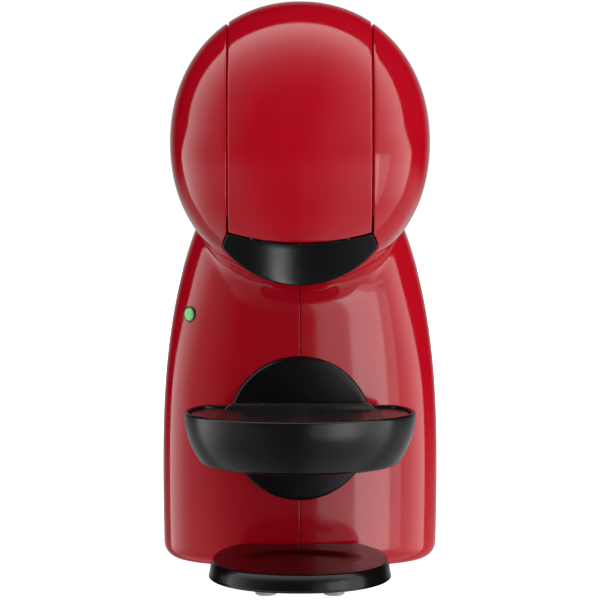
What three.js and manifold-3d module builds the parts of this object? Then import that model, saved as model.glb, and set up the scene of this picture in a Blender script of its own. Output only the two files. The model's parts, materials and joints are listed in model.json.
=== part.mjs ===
// Pod coffee machine: a round domed head on a narrow column, with a clip-on drip tray in front, a foot plate
// below it and a lift-off water tank behind. Millimetres, +Z up, the front faces -Y, the origin is on the
// floor under the middle of the machine.
import * as THREE from 'three';
import { mergeVertices } from 'three/addons/utils/BufferGeometryUtils.js';
import Module from 'manifold-3d';

const wasm = await Module();
wasm.setup();

// ---------------------------------------------------------------- driving dimensions
// Body column: widest at the belly, drawn in towards the neck, rounded at the bottom edge.
const BODY_HALF_WIDTH = 70;
const BODY_BELLY_Z = 45;
const BODY_RISE = 175; // belly to the height where the side curves would close
const BODY_RISE_POWER = 2.4;
const BODY_FOOT_DRAFT = 0.7;
const BODY_MID_Y = 20;
const BODY_FRONT_Y = -23;
const BODY_BACK_Y = 110;
const BODY_FRONT_POWER = 2.4;
const BODY_BACK_POWER = 3.2;
const BODY_BOTTOM_Z = 2.5;
const BODY_EDGE_RADIUS = 9.5;
const COLUMN_TOP_Z = 205;
const KEEL = 0.05; // slope of each half shell where the two meet at the front

// Head: a drum lying along Y with a domed front and a rounded back.
const HEAD_Z = 208;
const HEAD_HALF_WIDTH = 62;
const HEAD_HALF_HEIGHT = 67;
const HEAD_SECTION_POWER = 2.1;
const HEAD_FRONT_Y = -90;
const HEAD_BACK_Y = 62;
const HEAD_DOME_START_Y = -25;
const HEAD_TAPER_START_Y = 5;
const HEAD_DOME_POWER = 3.4;
const HEAD_BACK_POWER = 2.6;

// Walls and clearances.
const WALL = 2.5;
const PANEL_THICKNESS = 3;
const GAP = 0.3; // between neighbours that stay still
const SLIDE_GAP = 0.5; // beside what slides
const SEAM_GAP = 0.2; // between the two half shells
const JOIN = 1; // joined bodies and cuts run this far into each other

// Locking handle: the middle strip of the head, hinged near the top of its back end.
const PANEL_HALF_WIDTH = 36.1; // at BODY_MID_Y
const PANEL_TAPER = 0.025; // it narrows by this much for each millimetre forwards
const PANEL_EDGE_Z = 160.3; // lowest point of its curved lower edge
const PANEL_EDGE_RADIUS = 121;
const HANDLE_AXIS_Y = 20;
const HANDLE_AXIS_DEPTH = 10.4; // pin centre below the top of the head there
const HANDLE_END_RADIUS = 11.3; // the handle ends on this cylinder about its pin
const HANDLE_PIN_RADIUS = 2.2;
const KNUCKLE_RADIUS = 4.2;
const ARM_THICKNESS = 3.4;
const LUG_X = 6;
const LUG_HALF_HEIGHT = 2;
const LUG_ROOT = 7; // how far each lug's root runs along the frame

// Capsule holder: a drawer with an arched front under the handle.
const POD_Y = -53;
const HOLDER_HALF_WIDTH = 35.6;
const HOLDER_BOTTOM_Z = 141.2;
const HOLDER_ARC_RADIUS = 45.5;
const HOLDER_FRONT_Y = -79;
const HOLDER_FRONT_RADIUS = 85;
const HOLDER_FRONT_WALL = 4.5;
const HOLDER_BACK_Y = -26;
const HOLDER_SHOULDER_Z = 160;
const POD_RADIUS = 23.5;
const POD_SEAT_RADIUS = 15;
const POD_OUTLET_RADIUS = 4;
const POD_RIM_DROP = 2; // the well's straight rim starts this far below the shoulder
const HOLDER_FLOOR = 3;

// Frame and brewing parts inside the head.
const FRAME_HALF_WIDTH = 36.4;
const FRAME_WALL = 2.4;
const FRAME_CLEARANCE = 1.4;
const FRAME_FLOOR = 3.5;
const FRAME_BOTTOM_Z = 166;
const FRAME_BACK_Y = 10;
const HOSE_HOLE = { x: 10, half: 10, ahead: 18 };
const CHEEK_WALL_X = 36.9;
const CHEEK_WALL = 2.1;
const PLATE_RADIUS = 20;
const PLATE_THICKNESS = 5;
const PLATE_LIFT = 2.6; // its underside above the holder's shoulder
const PLATE_BOSS = { radius: 6, height: 14 };
const NEEDLE_RADIUS = 1.2;
const NEEDLE_LENGTH = 22;
const NEEDLE_POINT = 3;
const NEEDLE_DEPTH = 7; // its tip below the holder's shoulder
const NEEDLE_CLEARANCE = 2; // left below the tip in the holder's slot
const SEAL = { radius: 18.5, width: 2, height: 1.6 };
const HEATER = { halfWidth: 24, front: -46, back: 0, bottom: 205, height: 26 };
const HEATER_LUG = { halfDepth: 6, rise: 8, height: 4 };
const HEATER_PORT = { radius: 5, reach: 8, sink: 2 };
const HEATER_OUTLET = { x: -9, rise: 8 };
const HEATER_INLET = { x: 10, inset: 10, drop: 6 };
const THERMOSTAT = { radius: 8, x: -9, height: 5 };
const FUSE = { x0: 6, x1: 20, halfDepth: 3, height: 5 };

// Selector lever at the top of the back of the head.
const SELECTOR_Y = 42;
const SELECTOR_AXIS_Z = 232;
const SELECTOR_HUB_RADIUS = 7;
const SELECTOR_THICKNESS = 8;
const SELECTOR_BLADE_HALF_WIDTH = 2.6;
const SELECTOR_TIP_Z = 272;
const SELECTOR_TIP_RADIUS = 4.2;
const SELECTOR_SLOT_HALF_WIDTH = 16.5;
const VALVE_BLOCK = { halfWidth: 11, height: 14, ahead: 8, railHalfDepth: 4, railDrop: 8, railHeight: 4 };

// Power button on the left flank.
const BUTTON_Z = 125;
const BUTTON_FROM_SIDE = 15.25; // its centre, in from the widest line of the body
const BUTTON_RADIUS = 3.2;
const BUTTON_TURN = Math.PI / 4; // its axis points this far from straight ahead, towards the left
const BEZEL_WALL = 0.9;
const BEZEL_LENGTH = 12;
const BEZEL_PROUD = 0.6;
const BUTTON_LENGTH = 11;
const BUTTON_PROUD = 0.4; // past the end of its bezel

// Drip tray, grid and the round plate that carries them.
const TRAY_RADIUS = 54.3;
const TRAY_FRONT_Y = -110;
const TRAY_RIM_Z = 82;
const TRAY_DEPTH = 25;
const TRAY_DRAW_IN = 7.5;
const TRAY_DRAW_POWER = 2.2;
const TRAY_TURN = { inset: 3, rise: 1.2 }; // where the bowl's wall turns under into its floor
const TRAY_WALL = 2;
const TRAY_BACK_Y = -27;
const GRID_THICKNESS = 2.2;
const GRID_DROP = 1.5;
const GRID_CLEARANCE = 0.85; // all round, inside the bowl
const GRID_BAR = { halfWidth: 36.5, depth: 5.5, rise: 2.6, chamfer: 3 };
const GRID_SLOTS = { count: 9, width: 2.6, pitch: 6.4, inner: 3, outer: 39, edge: 8, ahead: 8 };
const PLATE_DISC_RADIUS = 35;
const PLATE_DISC_Z = 70;
const PLATE_DISC_FRONT_Y = -26;
const PLATE_DISC_DEPTH = 10;
const HOOK = { x: 15, halfWidth: 3, halfHeight: 2, drop: 6, reach: 7 };

// Foot plate in front of the column.
const FOOT_PLATE_Z = 6.8;
const FOOT_PLATE_THICKNESS = 7.2;
const FOOT_PLATE_HALF_WIDTH = 41.8;
const FOOT_PLATE_FRONT_Y = -107;
const FOOT_PLATE_MID_Y = -62;
const FOOT_PLATE_BACK_Y = -25;
const FOOT_PLATE_BACK_REACH = 50;
const FOOT_PLATE_POWER = 2.2;
const FOOT_PLATE_FLARE = { side: 2, front: 5 };
const FOOT_PLATE_SIDE = [[0, 0], [0.55, 0.45], [0.86, 0.7], [1, 1.1]]; // shares of its height and flare
const TONGUE = { halfWidth: 28, back: -6, height: 4, join: 4, screwX: 14, screwInset: 6, shelf: 12 };
const DISH = { halfWidth: 30, halfDepth: 22, depth: 1.6 };

// Bottom cover, feet and screws.
const COVER_THICKNESS = 3;
const FRONT_FOOT = { fromSide: 26.3, y: -80, radius: 5 };
const FOOT_RADIUS = 7;
const FOOT_BEVEL = 0.7;
const MID_FOOT = { fromSide: 26, y: 5 };
const REAR_FOOT = { fromSide: 34, y: 86 };
const SCREW_RADIUS = 1.5;
const SCREW_HEAD_RADIUS = 3;
const SCREW_HEAD = 1.6;
const SCREW_POINT = 1;
const SCREW_LENGTH = 14;
const PLATE_SCREW_SHORT = 1.5; // the foot plate's screws end this far below the top of its tongue
const BOSS_RADIUS = 4.2;
const FRONT_BOSS = { fromSide: 18, y: 26 };
const REAR_BOSS = { fromSide: 26, y: 74 };
const RIB_BOTTOM_Z = 16.5;

// Water tank, its lid, valve and dock.
const TANK_FRONT_Y = 64;
const DOCK_Y = 62.5;
const SHELF_Z = 26;
const TANK_BOTTOM_Z = 28;
const TANK_TOP_Z = 203;
const TANK_NECK_HALF_WIDTH = 55; // the tank is never narrower than this
const TANK_WALL = 2;
const SPOUT_Y = 86;
const SPOUT_RADIUS = 8;
const SPOUT_REACH = 5;
const VALVE_HOLE_RADIUS = 4;
const VALVE = { stem: 1.6, lip: 2, height: 2.5, tail: 6, raised: 1 };
const VALVE_SPRING = { radius: 3.6, wire: 0.5, turns: 4, seat: 0.8, head: 2.2 };
const CAGE = { height: 13, top: 1.5, inner: 8, outer: 10, halfDepth: 2 };
const SOCKET = { wall: 2.4, floor: 2, drop: 4, flange: 2.5, barb: 3.5 };
const LID_THICKNESS = 5;
const LID_GAP = 0.6;
const LID_AXIS_Y = 105.5;
const LID_END = 1.5;
const DOCK_PANEL = { halfWidth: 26, bottom: 40, top: 188 };

// Pump, hoses and electrics inside the column.
const PUMP_Y = 22;
const PUMP_RADIUS = 9;
const PUMP_BORE = 5;
const PUMP_BOTTOM_Z = 22;
const PUMP_TOP_Z = 98;
const COIL = { halfWidth: 19, halfDepth: 17, bottom: 44, top: 80 };
const PISTON = { radius: 4.6, bottom: 52, top: 78, room: 6 };
const PISTON_SPRING = { radius: 3.6, wire: 0.6, turns: 4, seat: 0.9, head: 3 };
const PUMP_MOUNT = { inner: 5, foot: 13, wall: 2, lip: 6, floor: 2 };
const PUMP_INLET = { radius: 3, reach: 6, rise: 12 };
const PUMP_CAP = { plug: 2, height: 3, nipple: 3, nippleHeight: 8 };
const STRAP = { wall: 3, low: 12, high: 4, halfWidth: 6 };
const HOSE_RADIUS = 2.6;
const BREW_HOSE_RADIUS = 2.2;
const CORD_INLET = { x: 40, z: 13.5, radius: 5, bore: 2.6, length: 11, end: 108 };
const BOARD = { halfWidth: 17, height: 50, thickness: 1.6 };

// Levels and places that several pieces share.
const CENTRE_X = 0;
const COVER_TOP_Z = BODY_BOTTOM_Z + COVER_THICKNESS;
const TONGUE_TOP_Z = COVER_TOP_Z + GAP + TONGUE.height;
const FRAME_INSET = PANEL_THICKNESS + FRAME_CLEARANCE;
const FRAME_FLOOR_TOP_Z = FRAME_BOTTOM_Z + FRAME_FLOOR;
const FRAME_INSIDE = FRAME_HALF_WIDTH - FRAME_WALL;
const HINGE_HALF_WIDTH = LUG_X + 2 * ARM_THICKNESS + SLIDE_GAP;
const NEEDLE_TIP_Z = HOLDER_SHOULDER_Z - NEEDLE_DEPTH;
const PLATE_Z = HOLDER_SHOULDER_Z + PLATE_LIFT;
const PLATE_TOP_Z = PLATE_Z + PLATE_BOSS.height;
const HEATER_TOP = HEATER.bottom + HEATER.height;
const HEATER_MID_Y = (HEATER.front + HEATER.back) / 2;
const VALVE_SEAT_Z = TANK_BOTTOM_Z + TANK_WALL;
const SOCKET_FLOOR_Z = TANK_BOTTOM_Z - SPOUT_REACH - SOCKET.drop;
const BARB_END_Z = SOCKET_FLOOR_Z - SOCKET.barb;
const PUMP_INLET_Z = PUMP_BOTTOM_Z + PUMP_INLET.rise;
const PUMP_INLET_END_Y = PUMP_Y + PUMP_RADIUS + PUMP_INLET.reach;
const PUMP_CAP_TOP_Z = PUMP_TOP_Z + PUMP_CAP.nippleHeight;

const RED = { color: 0xa8101c, roughness: 0.28, metalness: 0 };
const BLACK = { color: 0x101012, roughness: 0.3, metalness: 0 };
const DARK = { color: 0x1c1c1f, roughness: 0.6, metalness: 0 };
const RUBBER = { color: 0x2a2a2c, roughness: 0.9, metalness: 0 };
const STEEL = { color: 0xb8babd, roughness: 0.3, metalness: 1 };
const ALUMINIUM = { color: 0xa9abae, roughness: 0.45, metalness: 1 };
const SMOKE = { color: 0x55585c, roughness: 0.1, metalness: 0, transparent: true, opacity: 0.45 };
const GREEN = { color: 0x94ff9b, roughness: 0.4, metalness: 0 };
const BOARD_GREEN = { color: 0x1d5a32, roughness: 0.6, metalness: 0 };
const COPPER = { color: 0x9c5a2c, roughness: 0.5, metalness: 0.6 };
const SILICONE = { color: 0xd8d6cf, roughness: 0.6, metalness: 0 };

// ---------------------------------------------------------------- shape helpers
const FAR = 400; // past every piece
const MERGE_DISTANCE = 1e-4;
const power = (value, exponent) => Math.sign(value) * Math.abs(value) ** exponent;

/** The span from a to b on one side of the machine, in rising order. */
const sidePair = (side, a, b) => [side * a, side * b].sort((p, q) => p - q);

/** Closed solid from a geometry, with its faces turned outwards. */
function solid(geometry) {
  const bare = geometry.clone();
  for (const name of Object.keys(bare.attributes)) if (name !== 'position') bare.deleteAttribute(name);
  const merged = mergeVertices(bare, MERGE_DISTANCE);
  const at = merged.attributes.position.array;
  const index = merged.index.array;
  const kept = [];
  let volume = 0;
  for (let i = 0; i < index.length; i += 3) {
    const [a, b, c] = [index[i], index[i + 1], index[i + 2]];
    if (a === b || b === c || c === a) continue;
    kept.push(a, b, c);
    const [p, q, r] = [a, b, c].map((v) => new THREE.Vector3(at[3 * v], at[3 * v + 1], at[3 * v + 2]));
    volume += p.dot(q.cross(r));
  }
  if (volume < 0) kept.reverse();
  const mesh = new wasm.Mesh({
    numProp: 3,
    vertProperties: new Float32Array(at),
    triVerts: new Uint32Array(kept),
  });
  return new wasm.Manifold(mesh);
}

/** three.js geometry of a finished solid. */
function geometryOf(shape) {
  const mesh = shape.getMesh();
  const geometry = new THREE.BufferGeometry();
  geometry.setAttribute('position', new THREE.BufferAttribute(new Float32Array(mesh.vertProperties), 3));
  geometry.setIndex(new THREE.BufferAttribute(new Uint32Array(mesh.triVerts), 1));
  geometry.computeVertexNormals();
  return geometry;
}

const all = (first, ...rest) => rest.reduce((sum, shape) => sum.add(shape), first);

/** Box between two corners. */
function box(x0, x1, y0, y1, z0, z1) {
  const geometry = new THREE.BoxGeometry(x1 - x0, y1 - y0, z1 - z0);
  return solid(geometry.translate((x0 + x1) / 2, (y0 + y1) / 2, (z0 + z1) / 2));
}

/** Box that is the same distance each side of x = 0. */
const slab = (halfWidth, y0, y1, z0, z1) => box(-halfWidth, halfWidth, y0, y1, z0, z1);

/** Round bars along each axis: across (X), along (Y) and upright (Z). */
function bar(radius, length, sides) {
  return new THREE.CylinderGeometry(radius, radius, length, sides);
}
const across = (r, x0, x1, y, z, sides = 24) =>
  solid(bar(r, x1 - x0, sides).rotateZ(Math.PI / 2).translate((x0 + x1) / 2, y, z));
const along = (r, y0, y1, x, z, sides = 24) => solid(bar(r, y1 - y0, sides).translate(x, (y0 + y1) / 2, z));
const upright = (r, z0, z1, x, y, sides = 24) =>
  solid(bar(r, z1 - z0, sides).rotateX(Math.PI / 2).translate(x, y, (z0 + z1) / 2));

/** Solid turned about an upright axis; profile holds [radius, z] from bottom to top. */
function turned(profile, x, y, sides = 32) {
  const points = profile.map(([r, z]) => new THREE.Vector2(r, z));
  return solid(new THREE.LatheGeometry(points, sides).rotateX(Math.PI / 2).translate(x, y, 0));
}

/** Outline in the XZ plane, carried along Y. */
function prismAlongY(points, y0, y1) {
  const shape = new THREE.Shape(points.map(([x, z]) => new THREE.Vector2(x, z)));
  const geometry = new THREE.ExtrudeGeometry(shape, { depth: y1 - y0, bevelEnabled: false });
  return solid(geometry.rotateX(Math.PI / 2).translate(0, y1, 0));
}

/** Outline in the XY plane, carried upwards. */
function prismUp(points, z0, z1) {
  const shape = new THREE.Shape(points.map(([x, y]) => new THREE.Vector2(x, y)));
  const geometry = new THREE.ExtrudeGeometry(shape, { depth: z1 - z0, bevelEnabled: false });
  return solid(geometry.translate(0, 0, z0));
}

/** Skin over a row of rings with equal point counts, closed at both ends by a fan to the ring's middle. */
function loft(rings) {
  const count = rings[0].length;
  const positions = rings.flat(2);
  const index = [];
  for (let r = 0; r + 1 < rings.length; r += 1) {
    for (let i = 0; i < count; i += 1) {
      const a = r * count + i;
      const b = r * count + ((i + 1) % count);
      index.push(a, b, b + count, a, b + count, a + count);
    }
  }
  for (const [ring, flip] of [[0, true], [rings.length - 1, false]]) {
    const middle = positions.length / 3;
    const sum = rings[ring].reduce(([x, y, z], p) => [x + p[0], y + p[1], z + p[2]], [0, 0, 0]);
    positions.push(...sum.map((value) => value / count));
    for (let i = 0; i < count; i += 1) {
      const a = ring * count + i;
      const b = ring * count + ((i + 1) % count);
      index.push(...(flip ? [b, a, middle] : [a, b, middle]));
    }
  }
  const geometry = new THREE.BufferGeometry();
  geometry.setAttribute('position', new THREE.BufferAttribute(new Float32Array(positions), 3));
  geometry.setIndex(index);
  return solid(geometry);
}

/** Round tube along a smooth path. */
function hose(points, radius = HOSE_RADIUS, halfSides = 4, steps = 14) {
  const shape = new THREE.Shape();
  shape.absarc(0, 0, radius, 0, 2 * Math.PI);
  const path = new THREE.CatmullRomCurve3(points.map((p) => new THREE.Vector3(...p)));
  const options = { steps, extrudePath: path, bevelEnabled: false, curveSegments: halfSides };
  return solid(new THREE.ExtrudeGeometry(shape, options));
}

/** Coil spring along Z with flat pitch. */
function coilSpring(radius, wire, turns, z0, z1, x, y) {
  const shape = new THREE.Shape();
  shape.absarc(0, 0, wire, 0, 2 * Math.PI);
  class Helix extends THREE.Curve {
    getPoint(t) {
      const angle = 2 * Math.PI * turns * t;
      const [aside, ahead] = [radius * Math.cos(angle), radius * Math.sin(angle)];
      return new THREE.Vector3(x + aside, y + ahead, z0 + (z1 - z0) * t);
    }
  }
  const options = { steps: turns * 9, extrudePath: new Helix(), bevelEnabled: false, curveSegments: 2 };
  return solid(new THREE.ExtrudeGeometry(shape, options));
}

// ---------------------------------------------------------------- outer forms
const RING_POINTS = 36;
const HIDDEN_POINTS = 20; // rings of surfaces that face inwards
const RUN_DOWN = 20; // how far the column's hollow runs on below its floor

/** Half width of the column at a height. */
function bodyHalfWidth(z) {
  if (z > BODY_BELLY_Z) {
    const rise = ((z - BODY_BELLY_Z) / BODY_RISE) ** BODY_RISE_POWER;
    return BODY_HALF_WIDTH * Math.sqrt(Math.max(0, 1 - rise));
  }
  return BODY_HALF_WIDTH - BODY_FOOT_DRAFT * ((BODY_BELLY_Z - z) / BODY_BELLY_Z) ** 2;
}

/** Plan of the column: a superellipse, fuller behind its widest line, with a slight keel in front. */
function planPoints(halfWidth, inset, count) {
  const points = [];
  for (let i = 0; i < count; i += 1) {
    const angle = (2 * Math.PI * i) / count;
    const [side, ahead] = [Math.sin(angle), Math.cos(angle)];
    const exponent = 2 / (ahead > 0 ? BODY_FRONT_POWER : BODY_BACK_POWER);
    const depth = (ahead > 0 ? BODY_MID_Y - BODY_FRONT_Y : BODY_BACK_Y - BODY_MID_Y) - inset;
    const x = (halfWidth - inset) * power(side, exponent);
    const keel = ahead > 0 ? KEEL * Math.abs(x) * (1 - Math.abs(x) / (halfWidth - inset)) : 0;
    points.push([x, BODY_MID_Y - depth * power(ahead, exponent) + keel]);
  }
  return points;
}

/** Y of the column's front face at x and height z. */
function bodyFrontY(x, z) {
  const halfWidth = bodyHalfWidth(z);
  const depth = BODY_MID_Y - BODY_FRONT_Y;
  const share = Math.abs(x) / halfWidth;
  const keel = KEEL * Math.abs(x) * (1 - share);
  return BODY_MID_Y - depth * (1 - share ** BODY_FRONT_POWER) ** (1 / BODY_FRONT_POWER) + keel;
}

/** The column, inset by a wall; below its rounded bottom edge it can run on straight down. */
function columnForm(inset, topZ, widthAt, runsDown = false) {
  const rings = [];
  const [count, bands] = inset > 0 ? [HIDDEN_POINTS, 7] : [RING_POINTS, 10];
  const ring = (z, extra) => {
    rings.push(planPoints(widthAt(z), inset + extra, count).map(([x, y]) => [x, y, z]));
  };
  if (runsDown) ring(BODY_BOTTOM_Z - RUN_DOWN, BODY_EDGE_RADIUS);
  for (const degrees of [0, 22, 45, 67, 90]) {
    const turn = THREE.MathUtils.degToRad(degrees);
    ring(BODY_BOTTOM_Z + BODY_EDGE_RADIUS * (1 - Math.cos(turn)), BODY_EDGE_RADIUS * (1 - Math.sin(turn)));
  }
  const start = BODY_BOTTOM_Z + BODY_EDGE_RADIUS;
  for (let i = 1; i <= bands; i += 1) ring(start + ((topZ - start) * i) / bands, 0);
  return loft(rings);
}

/** The head, inset by a wall: superelliptic sections along Y that close in a dome at each end. */
function headForm(inset) {
  const rings = [];
  const [halfWidth, halfHeight] = [HEAD_HALF_WIDTH - inset, HEAD_HALF_HEIGHT - inset];
  const count = inset > 0 ? HIDDEN_POINTS : RING_POINTS;
  const ring = (y, scale) => {
    const points = [];
    for (let i = 0; i < count; i += 1) {
      const angle = (2 * Math.PI * i) / count;
      const x = halfWidth * scale * power(Math.sin(angle), 2 / HEAD_SECTION_POWER);
      const z = halfHeight * scale * power(Math.cos(angle), 2 / HEAD_SECTION_POWER);
      points.push([x, y, HEAD_Z + z]);
    }
    rings.push(points);
  };
  const domeDepth = HEAD_DOME_START_Y - HEAD_FRONT_Y - inset;
  const backDepth = HEAD_BACK_Y - HEAD_TAPER_START_Y - inset;
  for (const degrees of inset > 0 ? [86, 70, 54, 38, 20, 0] : [87, 78, 67, 56, 44, 30, 15, 0]) {
    const turn = THREE.MathUtils.degToRad(degrees);
    ring(HEAD_DOME_START_Y - domeDepth * Math.sin(turn) ** (2 / HEAD_DOME_POWER), Math.cos(turn));
  }
  for (const degrees of inset > 0 ? [0, 22, 44, 66, 86] : [0, 16, 32, 48, 63, 77, 87]) {
    const turn = THREE.MathUtils.degToRad(degrees);
    ring(HEAD_TAPER_START_Y + backDepth * Math.sin(turn) ** (2 / HEAD_BACK_POWER), Math.cos(turn));
  }
  return loft(rings);
}

/** Size of the head's section at y, as a share of its full section. */
function headScale(y) {
  const ahead = Math.max(0, (HEAD_DOME_START_Y - y) / (HEAD_DOME_START_Y - HEAD_FRONT_Y));
  const behind = Math.max(0, (y - HEAD_TAPER_START_Y) / (HEAD_BACK_Y - HEAD_TAPER_START_Y));
  return Math.sqrt(1 - ahead ** HEAD_DOME_POWER - behind ** HEAD_BACK_POWER);
}
const headTopZ = (y) => HEAD_Z + HEAD_HALF_HEIGHT * headScale(y);

/** Tapered strip that the handle and the cover behind it fill. */
const panelHalfWidth = (y) => PANEL_HALF_WIDTH + PANEL_TAPER * (y - BODY_MID_Y);
function strip(y0, y1, z0, z1, trim) {
  const [w0, w1] = [panelHalfWidth(y0) - trim, panelHalfWidth(y1) - trim];
  return prismUp([[-w0, y0], [w0, y0], [w1, y1], [-w1, y1]], z0, z1);
}

/** Outline of the capsule holder's front, grown by a clearance: arched above and below, with cut-off sides. */
function holderOutline(grow) {
  const [half, low] = [HOLDER_HALF_WIDTH + grow, HOLDER_ARC_RADIUS + grow];
  const lowCentre = HOLDER_BOTTOM_Z + HOLDER_ARC_RADIUS;
  const highCentre = PANEL_EDGE_Z + PANEL_EDGE_RADIUS;
  const high = PANEL_EDGE_RADIUS + SLIDE_GAP - grow;
  const points = [];
  const steps = 16;
  for (let i = 0; i <= steps; i += 1) {
    const x = -half + (2 * half * i) / steps;
    points.push([x, lowCentre - Math.sqrt(low ** 2 - x ** 2)]);
  }
  points.push([half, HOLDER_SHOULDER_Z + grow]);
  const topHalf = panelHalfWidth(HOLDER_FRONT_Y) - GAP + grow;
  for (let i = 0; i <= steps; i += 1) {
    const x = topHalf - (2 * topHalf * i) / steps;
    points.push([x, highCentre - Math.sqrt(high ** 2 - x ** 2)]);
  }
  points.push([-half, HOLDER_SHOULDER_Z + grow]);
  return points;
}

const HANDLE_AXIS_Z = headTopZ(HANDLE_AXIS_Y) - HANDLE_AXIS_DEPTH;

const machine = new THREE.Group();

/** Puts a finished solid into the machine as its own named piece. */
function piece(name, shape, finish, parent = machine) {
  const material = new THREE.MeshStandardMaterial(finish);
  const mesh = new THREE.Mesh(shape.isBufferGeometry ? shape : geometryOf(shape), material);
  mesh.name = name;
  parent.add(mesh);
  return mesh;
}

// ---------------------------------------------------------------- half shells
const tankHalfWidth = (z) => Math.max(bodyHalfWidth(z), TANK_NECK_HALF_WIDTH);

/** Seat of the power button: its own +Z points straight out of the left flank. */
const buttonX = BUTTON_FROM_SIDE - BODY_HALF_WIDTH;
const buttonSeat = new THREE.Group();
buttonSeat.position.set(buttonX, bodyFrontY(buttonX, BUTTON_Z), BUTTON_Z);
buttonSeat.rotation.set(Math.PI / 2, 0, 0);
buttonSeat.rotation.order = 'ZXY';
buttonSeat.rotation.z = -BUTTON_TURN;
machine.add(buttonSeat);
buttonSeat.updateMatrixWorld(true);

/** Both half shells in one: head and column with their hollows, slots and bosses. */
function shellForm() {
  const head = headForm(0);
  const column = columnForm(0, COLUMN_TOP_Z, bodyHalfWidth);
  const tankBay = slab(FAR, DOCK_Y, FAR, SHELF_Z, FAR);
  const outer = head.add(column).subtract(tankBay.subtract(head));

  const cheekWalls = slab(CHEEK_WALL_X + CHEEK_WALL, -FAR, BODY_FRONT_Y + WALL, 0, FAR)
    .subtract(slab(CHEEK_WALL_X, -FAR, FAR, 0, FAR));
  const bayWall = slab(CHEEK_WALL_X, BODY_FRONT_Y, BODY_FRONT_Y + WALL, 0, FRAME_BOTTOM_Z - GAP);
  const headCavity = headForm(WALL).subtract(all(cheekWalls, bayWall));
  const bayWalls = slab(FAR, DOCK_Y - WALL, FAR, SHELF_Z - WALL, FAR);
  const columnCavity = columnForm(WALL, COLUMN_TOP_Z - WALL, bodyHalfWidth, true).subtract(bayWalls);
  const cavity = headCavity.add(columnCavity);

  const handleSlot = all(
    strip(-FAR, HEAD_BACK_Y + WALL, HEAD_Z, FAR, 0),
    strip(-FAR, HEAD_DOME_START_Y - WALL, PANEL_EDGE_Z, HEAD_Z + JOIN, 0),
  );
  const mouth = prismAlongY(holderOutline(SLIDE_GAP), -FAR, BODY_FRONT_Y - GAP);
  const discHole = along(PLATE_DISC_RADIUS + GAP, -FAR, BODY_FRONT_Y + 3 * WALL, CENTRE_X, PLATE_DISC_Z, 48);
  const tongueNotch = slab(TONGUE.halfWidth + GAP, -FAR, TONGUE.back + GAP, 0, TONGUE_TOP_Z + GAP);
  const socketHole = upright(SPOUT_RADIUS + SOCKET.wall + 2 * GAP, 0, SHELF_Z + JOIN, CENTRE_X, SPOUT_Y);
  const panelHole = slab(DOCK_PANEL.halfWidth, DOCK_Y - 2 * WALL, FAR, DOCK_PANEL.bottom, DOCK_PANEL.top);
  const cordStart = CORD_INLET.end - CORD_INLET.length;
  const cordHole = along(CORD_INLET.radius + GAP, cordStart, FAR, CORD_INLET.x, CORD_INLET.z);
  const buttonHole = solid(bar(BUTTON_RADIUS + BEZEL_WALL + GAP, BEZEL_LENGTH, 24)
    .rotateX(Math.PI / 2).applyMatrix4(buttonSeat.matrixWorld));
  const openings = all(handleSlot, mouth, discHole, tongueNotch, socketHole, panelHole, cordHole, buttonHole);
  return outer.subtract(cavity.add(openings)).add(bosses().intersect(outer)).subtract(pilotHoles());
}

/** Distance of a boss or foot from the middle plane. */
const bodyX = (spot) => BODY_HALF_WIDTH - spot.fromSide;

/** Screw bosses that stand in the shells over the bottom cover. */
function bosses() {
  const shapes = [];
  for (const side of [-1, 1]) {
    const rib = sidePair(side, bodyX(FRONT_BOSS), BODY_HALF_WIDTH - WALL / 2);
    shapes.push(upright(BOSS_RADIUS, COVER_TOP_Z, SHELF_Z, side * bodyX(FRONT_BOSS), FRONT_BOSS.y));
    shapes.push(box(...rib, FRONT_BOSS.y - WALL / 2, FRONT_BOSS.y + WALL / 2, RIB_BOTTOM_Z, SHELF_Z));
    shapes.push(upright(BOSS_RADIUS, COVER_TOP_Z, SHELF_Z, side * bodyX(REAR_BOSS), REAR_BOSS.y));
  }
  return all(...shapes);
}

/** Holes in those bosses for the screws. */
function pilotHoles() {
  const shapes = [];
  for (const side of [-1, 1]) {
    for (const boss of [FRONT_BOSS, REAR_BOSS]) {
      const top = BODY_BOTTOM_Z + SCREW_LENGTH + JOIN;
      shapes.push(upright(SCREW_RADIUS + GAP, 0, top, side * bodyX(boss), boss.y, 12));
    }
  }
  return all(...shapes);
}

const shell = shellForm();
piece('left_shell', shell.intersect(box(-FAR, -SEAM_GAP / 2, -FAR, FAR, -FAR, FAR)), RED);
piece('right_shell', shell.intersect(box(SEAM_GAP / 2, FAR, -FAR, FAR, -FAR, FAR)), RED);

// ---------------------------------------------------------------- locking handle
const bigArc = () => along(PANEL_EDGE_RADIUS, -FAR, FAR, CENTRE_X, PANEL_EDGE_Z + PANEL_EDGE_RADIUS, 90);

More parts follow.
